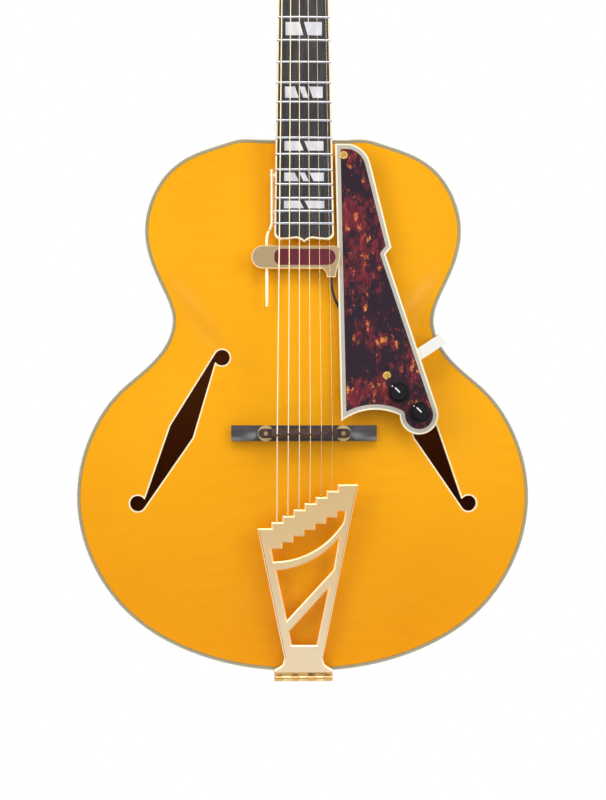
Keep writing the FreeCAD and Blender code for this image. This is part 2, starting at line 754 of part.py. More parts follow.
def d_section(half, depth, z):
    y = FRETBOARD_THICKNESS
    left, right = V(-half, y, z), V(half, y, z)
    return Part.Wire([line(left, right), arc(right, V(0, y + depth, z), left)])


def neck_heel():
    front = neck_point(0, FRETBOARD_THICKNESS + NECK_DEPTH_HEEL * 0.40, -JOINT_DISTANCE).y
    base_z = HEAD_Z - OVERRUN * 2
    wires = []
    for depth_share, width_share, reach_share in HEEL_SHARES:
        y = front + (BACK_EDGE_Y - front) * depth_share
        half = HEEL_HALF_WIDTH * width_share
        reach = HEEL_REACH * reach_share + OVERRUN * 2
        long_axis, short_axis = max(half, reach), min(half, reach)
        ellipse = Part.Ellipse(V(0, y, base_z), long_axis, short_axis)
        x_direction = Z_AXIS if reach > half else X_AXIS
        ellipse.Axis = Y_AXIS
        ellipse.XAxis = x_direction
        left, right = V(-half, y, base_z), V(half, y, base_z)
        start, end = ellipse.parameter(left), ellipse.parameter(right)
        curve = Part.ArcOfEllipse(ellipse, start, end)
        if curve.value((curve.FirstParameter + curve.LastParameter) / 2).z < base_z:
            curve = Part.ArcOfEllipse(ellipse, end, start)
        wires.append(Part.Wire(Part.__sortEdges__([curve.toShape(), line(left, right)])))
    return Part.makeLoft(wires, True, False)


def neck(rod_screws):
    half_nut, half_joint = NUT_WIDTH / 2, board_width(JOINT_DISTANCE) / 2
    reach = NUT_LENGTH * 5
    shaft = Part.makeLoft([d_section(half_nut, NECK_DEPTH_NUT, 0),
                           d_section(half_joint, NECK_DEPTH_HEEL, -JOINT_DISTANCE)], True, True)
    throat = Part.makeLoft([d_section(half_nut, NECK_DEPTH_NUT, 0),
                            d_section(half_nut * 0.80, NECK_DEPTH_NUT * 0.94, reach)], True, True)
    end = FRETBOARD_LENGTH - FRETBOARD_CORNER
    far_half = board_width(end) / 2 - FRETBOARD_BINDING
    near_half = half_joint - FRETBOARD_BINDING
    low = FRETBOARD_THICKNESS
    tongue = polygon_plate([V(-near_half, low, -JOINT_DISTANCE), V(near_half, low, -JOINT_DISTANCE),
                            V(far_half, low, -end), V(-far_half, low, -end)], TONGUE_DEPTH)
    side_points = [V(-NUT_WIDTH, low, OVERRUN - JOINT_DISTANCE), V(-NUT_WIDTH, low, -end),
                   V(-NUT_WIDTH, low + TONGUE_END_DEPTH, -end),
                   V(-NUT_WIDTH, low + TONGUE_DEPTH, OVERRUN - JOINT_DISTANCE)]
    side = Part.Face(Part.makePolygon(side_points + [side_points[0]])).extrude(V(NUT_WIDTH * 2, 0, 0))
    tongue = tongue.common(side)
    head = plate_of(head_outline(HEAD_VENEER), HEAD_THICKNESS)
    head = moved(turned(head, -HEAD_ANGLE), 0, FRETBOARD_THICKNESS - HEAD_DROP, NUT_LENGTH)
    seat = box(-half_nut, half_nut, low, low + NECK_DEPTH_NUT * 0.5, 0, NUT_LENGTH)
    wood = shaft.fuse(throat).fuse(head).fuse(seat).fuse(tongue)
    wood = wood.cut(box(-half_nut, half_nut, low - NUT_WIDTH, low, 0, NUT_LENGTH))
    wood = wood.cut(truss_channel())
    wood = in_neck_frame(wood)
    veneer_space = box(-HEAD_WIDTH, HEAD_WIDTH, -HEAD_WIDTH, HEAD_VENEER, 0, HEAD_LENGTH * 2)
    for hole in post_holes() + [truss_pocket(), veneer_space]:
        wood = wood.cut(from_head(hole))
    body = slab(TOP_EDGE_Y, BACK_EDGE_Y)
    wood = wood.cut(body)
    heel = neck_heel().cut(body)
    under = in_neck_frame(box(-NUT_WIDTH, NUT_WIDTH, -NUT_WIDTH, low, -FRETBOARD_LENGTH, OVERRUN))
    joint = tenon(0).cut(under)
    shank = wood.fuse(heel).fuse(joint)
    shank = cut_all(shank, [in_neck_frame(truss_channel())] + rod_screws)
    export("neck", shank.removeSplitter())


def headstock_trim():
    veneer = plate_of(head_outline(0), HEAD_VENEER)
    for hole in post_holes() + [truss_pocket()]:
        veneer = veneer.cut(hole)
    nut_space = in_neck_frame(box(-NUT_WIDTH, NUT_WIDTH, -NUT_WIDTH, NUT_WIDTH, -NUT_WIDTH, NUT_LENGTH))
    half = TRUSS_COVER_WIDTH / 2
    low, high = TRUSS_COVER_START, TRUSS_COVER_START + TRUSS_COVER_LENGTH
    waist = high - TRUSS_COVER_LENGTH * 0.45
    edges = [line(V(-half, -TRUSS_COVER_THICKNESS, low), V(half, -TRUSS_COVER_THICKNESS, low)),
             line(V(half, -TRUSS_COVER_THICKNESS, low), V(half, -TRUSS_COVER_THICKNESS, waist)),
             arc(V(half, -TRUSS_COVER_THICKNESS, waist), V(0, -TRUSS_COVER_THICKNESS, high),
                 V(-half, -TRUSS_COVER_THICKNESS, waist)),
             line(V(-half, -TRUSS_COVER_THICKNESS, waist), V(-half, -TRUSS_COVER_THICKNESS, low))]
    cover = plate_of(edges, TRUSS_COVER_THICKNESS)
    screws = []
    for z in (low + COVER_SCREW_HEAD * 0.7, high - COVER_SCREW_HEAD * 1.1):
        start = V(0 if z > waist else half * 0.75, -TRUSS_COVER_THICKNESS, z)
        for x in ((start.x,) if start.x == 0 else (-start.x, start.x)):
            place = V(x, start.y, z)
            head = rod(place, place.sub(V(0, COVER_SCREW_RISE, 0)), COVER_SCREW_HEAD)
            shank = rod(place, place.add(V(0, HEAD_VENEER + TRUSS_COVER_THICKNESS, 0)), COVER_SCREW_SHANK)
            screws.append(head.fuse(shank))
    cover = cut_all(cover, screws)
    veneer = from_head(veneer).cut(nut_space)
    export("headstock_veneer", cut_all(veneer, [from_head(screw) for screw in screws]))
    export("truss_rod_cover", from_head(cover))
    return screws


def truss_rod():
    y = truss_axis_y()
    start = V(0, y, TRUSS_NUT_LENGTH - JOINT_DISTANCE)
    end = V(0, y, truss_nut_place())
    shaft = rod(start, end.add(V(0, 0, TRUSS_NUT_LENGTH * 0.8)), TRUSS_ROD_DIAMETER)
    export("truss_rod", in_neck_frame(shaft))
    nut = rod(end, end.add(V(0, 0, TRUSS_NUT_LENGTH)), TRUSS_NUT_DIAMETER)
    nut = nut.cut(rod(start, end.add(V(0, 0, TRUSS_NUT_LENGTH * 0.8 + RUNNING_CLEARANCE)),
                      TRUSS_ROD_DIAMETER + RUNNING_CLEARANCE * 2))
    flats = TRUSS_NUT_DIAMETER * 0.16
    tip = end.add(V(0, 0, TRUSS_NUT_LENGTH))
    slot = box(-TRUSS_NUT_DIAMETER, TRUSS_NUT_DIAMETER, y - flats, y + flats, tip.z - flats, tip.z + OVERRUN)
    export("truss_rod_nut", in_neck_frame(nut.cut(slot)))


# Strings: heads, speaking lengths and tails
def nut_point(index):
    x = spread(NUT_STRING_SPREAD, index)
    return V(x, board_drop(x) - NUT_STRING_LIFT - STRING_DIAMETERS[index] / 2, 0)


def saddle_point(index):
    x = spread(BRIDGE_STRING_SPREAD, index)
    y = board_drop(x) - BRIDGE_STRING_LIFT - STRING_DIAMETERS[index] / 2
    return neck_point(x, y, -SCALE_LENGTH - STRING_SETBACKS[index])


def post_point(index):
    side, x, z = tuner_place(index)
    inner = x - POST_WAIST / 2 - STRING_DIAMETERS[index] / 2 - RUNNING_CLEARANCE
    return head_point(side * inner, -POST_STRING_HEIGHT, z)


def head_string(index):
    place = nut_point(index)
    start = neck_point(place.x, place.y, place.z)
    return start, post_point(index)


def nut():
    half = NUT_WIDTH / 2
    solid = box(-half, half, -NUT_RISE, FRETBOARD_THICKNESS, 0, NUT_LENGTH)
    solid = in_neck_frame(solid)
    for index, diameter in enumerate(STRING_DIAMETERS):
        start, end = head_string(index)
        along = end.sub(start).normalize()
        side = V(diameter / 2 + RUNNING_CLEARANCE, 0, 0)
        near, far = start.sub(along * NUT_LENGTH), start.add(along * NUT_LENGTH * 3)
        points = [near.sub(side), near.add(side), far.add(side), far.sub(side)]
        slot = Part.Face(Part.makePolygon(points + [points[0]])).extrude(V(0, -NUT_LENGTH * 3, 0))
        solid = solid.cut(slot.fuse(rod(near, far, diameter + RUNNING_CLEARANCE * 2)))
    export("nut", solid)


def tail_frame():
    pin = V(0, TOP_EDGE_Y - HINGE_LIFT - TAILPIECE_THICKNESS / 4, TAIL_Z - HINGE_OFFSET)
    points = [saddle_point(index) for index in range(len(STRING_NAMES))]
    top = sum((point.y for point in points), 0.0) / len(points)
    along = sum((point.z for point in points), 0.0) / len(points)
    return pin, math.degrees(math.atan2(pin.y - top, along - pin.z))


def from_tail(shape):
    pin, angle = tail_frame()
    return moved(turned(shape, angle), pin.x, pin.y, pin.z)


def tail_point(x, y, z):
    pin, angle = tail_frame()
    turn = FreeCAD.Rotation(X_AXIS, angle)
    return pin.add(turn.multVec(V(x, y, z)))


def stair_level(step):
    return TAILPIECE_LENGTH - STAIR_RISE * (len(STRING_NAMES) + 1 - step)


def strings():
    heads, lengths, tails = [], [], []
    for index, diameter in enumerate(STRING_DIAMETERS):
        start, post = head_string(index)
        saddle = saddle_point(index)
        run = saddle.sub(start).normalize() * STRING_END_GAP
        rise = post.sub(start).normalize() * STRING_END_GAP
        heads.append(rod(start.add(rise), post, diameter))
        lengths.append(rod(start.add(run), saddle.sub(run), diameter))
        level = stair_level(index + 1)
        x = spread(BRIDGE_STRING_SPREAD, index)
        anchor = tail_point(x, 0, level - STRING_HOLE_DEPTH + STRING_BALL)
        back = anchor.sub(saddle).normalize() * (STRING_END_GAP + SADDLE_CREST / 2)
        tails.append(rod(saddle.add(back), anchor, diameter).fuse(Part.makeSphere(STRING_BALL / 2, anchor)))
    export("string_heads", *heads)
    export("strings", *lengths)
    export("string_tails", *tails)


# Tuners, built once on the treble side and mirrored for the bass side
def gear_blank():
    radius = GEAR_MODULE * GEAR_TEETH / 2
    root, tip = radius - GEAR_MODULE * 1.25, radius + GEAR_MODULE * 0.9
    pitch = math.pi * GEAR_MODULE
    points = []
    for tooth in range(GEAR_TEETH):
        centre = FULL_TURN * tooth / GEAR_TEETH
        for size, width, sign in ((root, 0.50, -1), (tip, 0.20, -1), (tip, 0.20, 1), (root, 0.50, 1)):
            angle = math.radians(centre + sign * math.degrees(pitch * width / 2 / size))
            points.append(V(size * math.sin(angle), 0, size * math.cos(angle)))
    return polygon_plate(points, GEAR_WIDTH)


def worm():
    radius = WORM_PITCH_DIAMETER / 2
    root, tip = radius - GEAR_MODULE * 1.1, radius + GEAR_MODULE * 0.8
    pitch = math.pi * GEAR_MODULE
    turns = WORM_LENGTH / pitch + 2
    helix = Part.makeHelix(pitch, pitch * turns, radius)
    sink = root * 0.12
    points = [V(root - sink, 0, -pitch * 0.27), V(tip, 0, -pitch * 0.10), V(tip, 0, pitch * 0.10),
              V(root - sink, 0, pitch * 0.27)]
    profile = Part.makePolygon(points + [points[0]])
    thread = Part.Wire(helix).makePipeShell([profile], True, True)
    thread.translate(V(0, 0, -pitch * (turns / 2)))
    core = Part.makeCylinder(root, WORM_LENGTH, V(0, 0, -WORM_LENGTH / 2))
    keep = Part.makeCylinder(tip + OVERRUN, WORM_LENGTH, V(0, 0, -WORM_LENGTH / 2))
    return core.fuse(thread.common(keep))


def turned_worm():
    pitch = math.pi * GEAR_MODULE
    solid = turned(worm(), 90, ORIGIN, Y_AXIS)
    turns = WORM_LENGTH / pitch + 2
    phase = (turns / 2) % 1
    start_angle = 0.5 - phase
    return turned(solid, FULL_TURN * start_angle, ORIGIN, X_AXIS)


def case_back():
    return HEAD_VENEER + HEAD_THICKNESS


def gear_centre():
    return GEAR_MODULE * GEAR_TEETH / 2 + WORM_PITCH_DIAMETER / 2


def tuner_case():
    back = case_back()
    half = CASE_WIDTH / 2
    low = -CASE_LENGTH / 2 + gear_centre() / 2
    shell = box(-half, half, back, back + CASE_DEPTH, low, low + CASE_LENGTH)
    upright = [edge for edge in shell.Edges if abs(edge.tangentAt(edge.FirstParameter).y) > 0.9]
    shell = shell.makeFillet(CASE_CORNER, upright)
    outer = [edge for edge in shell.Edges if edge.BoundBox.YMin > back + CASE_DEPTH - RUNNING_CLEARANCE]
    shell = shell.makeFillet(CASE_CORNER * 0.6, outer)
    tip = GEAR_MODULE * (GEAR_TEETH / 2 + 0.9) + SIDE_CLEARANCE
    worm_tip = WORM_PITCH_DIAMETER / 2 + GEAR_MODULE * 0.8 + SIDE_CLEARANCE
    gear_y = back + GEAR_FLOAT
    gear_room = rod(V(0, back - OVERRUN, 0), V(0, gear_y + GEAR_WIDTH + SIDE_CLEARANCE, 0), tip * 2)
    worm_y = gear_y + GEAR_WIDTH / 2
    reach = WORM_LENGTH / 2 + SIDE_CLEARANCE
    worm_room = rod(V(-reach, worm_y, gear_centre()), V(reach, worm_y, gear_centre()), worm_tip * 2)
    shaft_room = rod(V(0, worm_y, gear_centre()), V(CASE_WIDTH, worm_y, gear_centre()),
                     WORM_SHAFT + RUNNING_CLEARANCE * 2)
    shell = shell.cut(gear_room).cut(worm_room).cut(shaft_room)
    washer_y = -BUSHING_WASHER_HEIGHT
    washer = rod(V(0, washer_y, 0), ORIGIN, BUSHING_WASHER)
    sleeve = rod(V(0, washer_y - BUSHING_HEIGHT, 0), V(0, back, 0), BUSHING_DIAMETER - RUNNING_CLEARANCE * 2)
    hole = rod(V(0, washer_y - BUSHING_HEIGHT - OVERRUN, 0), V(0, back + OVERRUN, 0),
               POST_DIAMETER + RUNNING_CLEARANCE * 2)
    return shell, washer.fuse(sleeve).cut(hole)


def tuner_post():
    top = -POST_HEIGHT
    gear_y = case_back() + GEAR_FLOAT
    post = rod(V(0, top, 0), V(0, gear_y + GEAR_WIDTH, 0), POST_DIAMETER)
    groove_top, groove_low = -POST_STRING_HEIGHT - POST_HOLE * 1.6, -POST_STRING_HEIGHT + POST_HOLE * 1.6
    groove = rod(V(0, groove_top, 0), V(0, groove_low, 0), POST_DIAMETER + OVERRUN)
    groove = groove.cut(rod(V(0, groove_top - OVERRUN, 0), V(0, groove_low + OVERRUN, 0), POST_WAIST))
    hole = rod(V(-POST_DIAMETER, -POST_STRING_HEIGHT, 0), V(POST_DIAMETER, -POST_STRING_HEIGHT, 0), POST_HOLE)
    gear = moved(gear_blank(), 0, gear_y, 0)
    return post.cut(groove).cut(hole).fuse(gear)


def tuner_button(x, z):
    worm_y = case_back() + GEAR_FLOAT + GEAR_WIDTH / 2
    start = head_half_width(z) - x + BUTTON_GAP
    shaft = rod(V(WORM_LENGTH / 2 - RUNNING_CLEARANCE, worm_y, gear_centre()),
                V(start + BUTTON_LENGTH / 2, worm_y, gear_centre()), WORM_SHAFT)
    collar_start = V(start - BUTTON_GAP / 2, worm_y, gear_centre())
    collar = rod(collar_start, V(start + BUTTON_GAP, worm_y, gear_centre()), BUTTON_COLLAR)
    oval = Part.Ellipse(V(0, -BUTTON_THICKNESS / 2, 0), BUTTON_WIDTH / 2, BUTTON_LENGTH / 2)
    oval.Axis = Y_AXIS
    oval.XAxis = Z_AXIS
    grip = plate_of([oval.toShape()], BUTTON_THICKNESS)
    flat = [edge for edge in grip.Edges if edge.BoundBox.YLength < RUNNING_CLEARANCE]
    grip = moved(grip.makeFillet(BUTTON_THICKNESS * 0.28, flat), BUTTON_LENGTH / 2, 0, 0)
    grip = moved(grip, start, worm_y, gear_centre())
    return moved(turned_worm(), 0, worm_y, gear_centre()).fuse(shaft).fuse(collar).fuse(grip)


def tuners():
    cases = []
    shell, bushing = tuner_case()
    post = tuner_post()
    for index, name in enumerate(STRING_NAMES):
        side, x, z = tuner_place(index)
        button = tuner_button(x, z)
        set_of = [shell, bushing, post, button]
        if side < 0:
            set_of = [mirrored(shape) for shape in set_of]
        set_of = [from_head(moved(shape, side * x, 0, z)) for shape in set_of]
        cases.extend(set_of[:2])
        export("string_post_" + name, set_of[2])
        export("tuner_button_" + name, set_of[3])
    export("tuner_cases", *cases)


# Bridge
def crest_y(index):
    return saddle_point(index).y + STRING_DIAMETERS[index] / 2 + SADDLE_REST_GAP


def bridge_z():
    points = [saddle_point(index).z for index in range(len(STRING_NAMES))]
    return (max(points) + min(points)) / 2


def saddle_bottom():
    crests = [crest_y(index) for index in range(len(STRING_NAMES))]
    return sum(crests) / len(crests) + SADDLE_HEIGHT


def bridge(top_outside):
    z = bridge_z()
    bottom = saddle_bottom()
    pad = bottom + WHEEL_THICKNESS + WHEEL_GAP
    post_x = BRIDGE_POST_SPACING / 2
    half = BRIDGE_LENGTH / 2
    front = z - BRIDGE_WIDTH / 2
    end_y = TOP_EDGE_Y - TOP_ARCH * 0.93 - BRIDGE_FOOT_HEIGHT
    deep = TOP_EDGE_Y
    inner = post_x + WHEEL_DIAMETER * 0.55
    sag = V((half + inner) * 0.49, (pad + end_y) * 0.5 + BRIDGE_FOOT_HEIGHT * 0.35, z)
    scoop = Part.Circle(V(half, end_y, z), sag, V(inner, pad, z))
    gouge = Part.makeTorus(scoop.Radius - BRIDGE_GOUGE, BRIDGE_GOUGE, scoop.Center, Z_AXIS)
    base = box(-half, half, pad, deep, front, front + BRIDGE_WIDTH)
    base = cut_all(base, [gouge, mirrored(gouge)])
    relief_half = BRIDGE_RELIEF / 2
    relief_y = TOP_EDGE_Y - TOP_ARCH - BRIDGE_RELIEF_HEIGHT
    relief = box(-relief_half, relief_half, relief_y, deep + OVERRUN,
                 front - OVERRUN, front + BRIDGE_WIDTH + OVERRUN)
    base = base.cut(relief).cut(top_outside)
    posts, wheels = [], []
    for x in (-post_x, post_x):
        post_top = bottom - SADDLE_LOBE_HEIGHT - RUNNING_CLEARANCE * 8
        posts.append(rod(V(x, pad + BRIDGE_POST_SINK, z), V(x, post_top, z), BRIDGE_POST_DIAMETER))
        wheel = rod(V(x, bottom, z), V(x, bottom + WHEEL_THICKNESS, z), WHEEL_DIAMETER)
        notches = []
        for notch in range(WHEEL_NOTCHES):
            angle = 2 * math.pi * notch / WHEEL_NOTCHES
            radius = WHEEL_DIAMETER / 2
            place = V(x + radius * math.cos(angle), bottom - OVERRUN, z + radius * math.sin(angle))
            notches.append(rod(place, place.add(V(0, WHEEL_THICKNESS + OVERRUN * 2, 0)), WHEEL_NOTCH))
        hole = rod(V(x, bottom - OVERRUN, z), V(x, bottom + WHEEL_THICKNESS + OVERRUN, z),
                   BRIDGE_POST_DIAMETER + RUNNING_CLEARANCE * 2)
        wheels.append(cut_all(wheel, notches + [hole]))
    base = cut_all(base, posts)
    export("bridge_base", base)
    export("bridge_posts", *posts)
    export("thumbwheel_bass", wheels[0])
    export("thumbwheel_treble", wheels[1])
    bridge_saddle(z, bottom)


def bridge_saddle(z, bottom):
    end = SADDLE_LENGTH / 2 - SADDLE_WIDTH / 2
    thick = SADDLE_WIDTH / 2
    lobe_y = bottom - SADDLE_LOBE_HEIGHT
    body = box(-end, end, lobe_y, bottom, z - thick, z + thick)
    for x in (-end, end):
        body = body.fuse(rod(V(x, lobe_y, z), V(x, bottom, z), SADDLE_WIDTH))
    pitch = BRIDGE_STRING_SPREAD / (len(STRING_NAMES) - 1)
    for index in range(len(STRING_NAMES)):
        point = saddle_point(index)
        crest = SADDLE_CREST / 2
        section = [V(point.x - pitch / 2, lobe_y, z - thick), V(point.x - pitch / 2, lobe_y, z + thick),
                   V(point.x - pitch / 2, crest_y(index), point.z + crest),
                   V(point.x - pitch / 2, crest_y(index), point.z - crest)]
        rib = Part.Face(Part.makePolygon(section + [section[0]])).extrude(V(pitch, 0, 0))
        body = body.fuse(rib)
    body = body.removeSplitter()
    for x in (-BRIDGE_POST_SPACING / 2, BRIDGE_POST_SPACING / 2):
        body = body.cut(rod(V(x, lobe_y - OVERRUN, z), V(x, bottom + OVERRUN, z),
                            BRIDGE_POST_DIAMETER + HOLE_CLEARANCE * 2))
    export("bridge_saddle", body)


# Tailpiece in its own frame: hinge pin along x, plate rising along z, y = 0 through the plate
def tail_share(shares, y):
    return V(shares[0] * TAILPIECE_WIDTH, y, shares[1] * TAILPIECE_LENGTH)


def stair_edge(y, drop, first, last):
    pitch = BRIDGE_STRING_SPREAD / (len(STRING_NAMES) - 1)
    points = []
    for step in range(first, last + 1):
        x = pitch * (step - 1 - len(STRING_NAMES) / 2)
        points.append(V(x, y, stair_level(step) - drop))
        points.append(V(x + pitch, y, stair_level(step) - drop))
    return points


def tailpiece_blank():
    y = -TAILPIECE_THICKNESS / 2
    side_left, side_right = -TAILPIECE_WIDTH * 0.467, TAILPIECE_WIDTH * 0.533
    steps = len(STRING_NAMES)
    pitch = BRIDGE_STRING_SPREAD / (steps - 1)
    top = [V(side_left, y, stair_level(0)), V(-pitch * steps / 2, y, stair_level(0))]
    top += stair_edge(y, 0, 1, steps)
    top += [V(pitch * steps / 2, y, stair_level(steps + 1)), V(side_right, y, stair_level(steps + 1))]
    right = [tail_share(shares, y) for shares in reversed(FOOT_SHARES)]
    half = HINGE_WIDTH / 2
    foot = [V(half, y, 0), V(-half, y, 0)]
    left = [V(-point.x, y, point.z) for point in reversed(right)]
    return polygon_plate(top + right + foot + left, TAILPIECE_THICKNESS)


def tailpiece_windows():
    y = -TAILPIECE_THICKNESS / 2 - OVERRUN
    depth = TAILPIECE_THICKNESS + OVERRUN * 2
    steps = len(STRING_NAMES)
    place = {name: tail_share(shares, y) for name, shares in UPPER_WINDOW_SHARES.items()}
    stairs = stair_edge(y, STAIR_BAND, 1, steps)
    last = V(tail_share((0.405, 0), y).x, y, stair_level(steps + 1) - STAIR_BAND)
    corner = V(stairs[-1].x, y, last.z)
    points = stairs + [corner, last, place["right"]]
    upper = [line(a, b) for a, b in zip(points, points[1:])]
    upper += [arc(place["right"], place["middle"], place["left"]), line(place["left"], points[0])]
    place = {name: tail_share(shares, y) for name, shares in MIDDLE_WINDOW_SHARES.items()}
    middle = [arc(place["left"], place["middle"], place["right"]), line(place["right"], place["low_right"]),
              line(place["low_right"], place["low_left"]), line(place["low_left"], place["left"])]
    place = {name: tail_share(shares, y) for name, shares in LOWER_WINDOW_SHARES.items()}
    lower = polygon_plate([place["left"], place["right"], place["low_right"], place["low_left"]], depth)
    return [plate_of(upper, depth), plate_of(middle, depth), lower]


def knuckle(number, diameter, margin):
    width = HINGE_WIDTH / HINGE_KNUCKLES
    start = -HINGE_WIDTH / 2 + width * number
    return rod(V(start + margin, 0, 0), V(start + width - margin, 0, 0), diameter)


def tailpiece():
    plate = cut_all(tailpiece_blank(), tailpiece_windows())
    front = [edge for edge in plate.Edges
             if edge.BoundBox.YMax < -TAILPIECE_THICKNESS / 2 + RUNNING_CLEARANCE
             and edge.BoundBox.ZMin > HINGE_DIAMETER]
    plate = plate.makeChamfer(TAILPIECE_BEVEL, front)
    for index in range(len(STRING_NAMES)):
        x = spread(BRIDGE_STRING_SPREAD, index)
        level = stair_level(index + 1)
        plate = plate.cut(rod(V(x, 0, level - STRING_HOLE_DEPTH), V(x, 0, level + OVERRUN), STRING_HOLE))
    width = HINGE_WIDTH / HINGE_KNUCKLES
    gap = SIDE_CLEARANCE / 2
    for number in range(HINGE_KNUCKLES):
        if number % 2:
            start = -HINGE_WIDTH / 2 + width * number
            room = HINGE_DIAMETER + SIDE_CLEARANCE * 4
            plate = plate.cut(rod(V(start - gap, 0, 0), V(start + width + gap, 0, 0), room))
            plate = plate.cut(box(start - gap, start + width + gap, -room, room, 0, HINGE_NOTCH))
        else:
            plate = plate.fuse(knuckle(number, HINGE_DIAMETER, gap))
    bore = rod(V(-HINGE_WIDTH, 0, 0), V(HINGE_WIDTH, 0, 0), HINGE_PIN + RUNNING_CLEARANCE * 2)
    export("tailpiece", from_tail(plate.cut(bore).removeSplitter()))
    half = HINGE_WIDTH / 2
    pin, _ = tail_frame()
    axis = rod(V(-half, pin.y, pin.z), V(half, pin.y, pin.z), HINGE_PIN)
    export("tailpiece_hinge_pin", axis)
    tail_bracket(pin, axis)


def tail_bracket(pin, axis):
    half = HINGE_WIDTH / 2
    front = pin.y + HINGE_DIAMETER / 2 + SIDE_CLEARANCE
    leaf = box(-half, half, front, RIM_Y + BRACKET_DROP,
               TAIL_Z - BRACKET_THICKNESS, TAIL_Z + TAIL_BLOCK_LENGTH / 4)
    leaf = leaf.cut(slab(TOP_EDGE_Y - HINGE_DIAMETER, BACK_EDGE_Y))
    width = HINGE_WIDTH / HINGE_KNUCKLES
    gap = SIDE_CLEARANCE / 2
    for number in range(1, HINGE_KNUCKLES, 2):
        start = -half + width * number
        barrel = moved(knuckle(number, HINGE_DIAMETER, gap), 0, pin.y, pin.z)
        web = box(start + gap, start + width - gap, pin.y + TAILPIECE_THICKNESS * 0.6,
                  front + BRACKET_THICKNESS, pin.z - HINGE_DIAMETER / 2, TAIL_Z - SIDE_CLEARANCE)
        leaf = leaf.fuse(barrel).fuse(web)
    bore = rod(V(-HINGE_WIDTH, pin.y, pin.z), V(HINGE_WIDTH, pin.y, pin.z), HINGE_PIN)
    leaf = cut_all(leaf.removeSplitter(), [bore] + tail_screw_shanks(0))
    export("tailpiece_bracket", leaf)


def tail_screws():
    screws = []
    for place, shank in zip(tail_screw_places(), tail_screw_shanks(0)):
        face = place.sub(V(0, 0, BRACKET_THICKNESS))
        head = Part.makeCone(TAIL_SCREW_HEAD / 2, TAIL_SCREW_HEAD / 4, TAIL_SCREW_SHANK / 2, face,
                             Z_AXIS.negative())
        slot = box(face.x - TAIL_SCREW_HEAD, face.x + TAIL_SCREW_HEAD, face.y - TAIL_SCREW_HEAD / 12,
                   face.y + TAIL_SCREW_HEAD / 12, face.z - TAIL_SCREW_HEAD, face.z - TAIL_SCREW_SHANK / 4)
        screws.append(head.cut(slot).fuse(shank))
    return screws


# Pickguard in its own frame: top corner beside the fretboard at the origin, face at y = 0
def guard_origin():
    board = neck_point(0, 0, -JOINT_DISTANCE)
    return V(board_width(JOINT_DISTANCE) / 2 + GUARD_SIDE_GAP, board.y + GUARD_SINK, HEAD_Z - GUARD_DROP)


def from_guard(shape):
    place = guard_origin()
    return moved(turned(shape, -GUARD_ANGLE), place.x, place.y, place.z)


def guard_point(x, y, z):
    turn = FreeCAD.Rotation(X_AXIS, -GUARD_ANGLE)
    return guard_origin().add(turn.multVec(V(x, y, z)))


def guard_share(shares, y=0):
    return V(shares[0] * GUARD_WIDTH, y, shares[1] * GUARD_LENGTH)


def guard_outline():
    place = {name: guard_share(shares) for name, shares in GUARD_SHARES.items()}
    radius = GUARD_LOBE / 2
    lobe = place["lobe"]
    edge = tangent_point(place["notch_inner"], lobe, radius, -1)
    beak = lobe.sub(V(radius, 0, 0))
    return Part.Wire([
        line(ORIGIN, place["shoulder"]),
        arc(place["shoulder"], place["shoulder_middle"], place["shoulder_end"]),
        line(place["shoulder_end"], place["notch_point"]), line(place["notch_point"], place["notch_inner"]),
        line(place["notch_inner"], edge), arc(edge, lobe.sub(V(0, 0, radius)), beak),
        arc(beak, place["bottom_middle"], place["bottom_corner"]), line(place["bottom_corner"], ORIGIN)])


def guard_screw(shares, length):
    place = guard_share(shares)
    head = Part.makeCone(GUARD_SCREW_HEAD / 2, GUARD_SCREW_HEAD / 3, GUARD_SCREW_RISE, place,
                         Y_AXIS.negative())
    slot = box(place.x - GUARD_SCREW_HEAD, place.x + GUARD_SCREW_HEAD, -GUARD_SCREW_HEAD,
               -GUARD_SCREW_RISE / 2, place.z - GUARD_SCREW_RISE / 3, place.z + GUARD_SCREW_RISE / 3)
    shank = rod(place, place.add(V(0, length, 0)), GUARD_SCREW_SHANK)
    return head.cut(slot).fuse(shank)


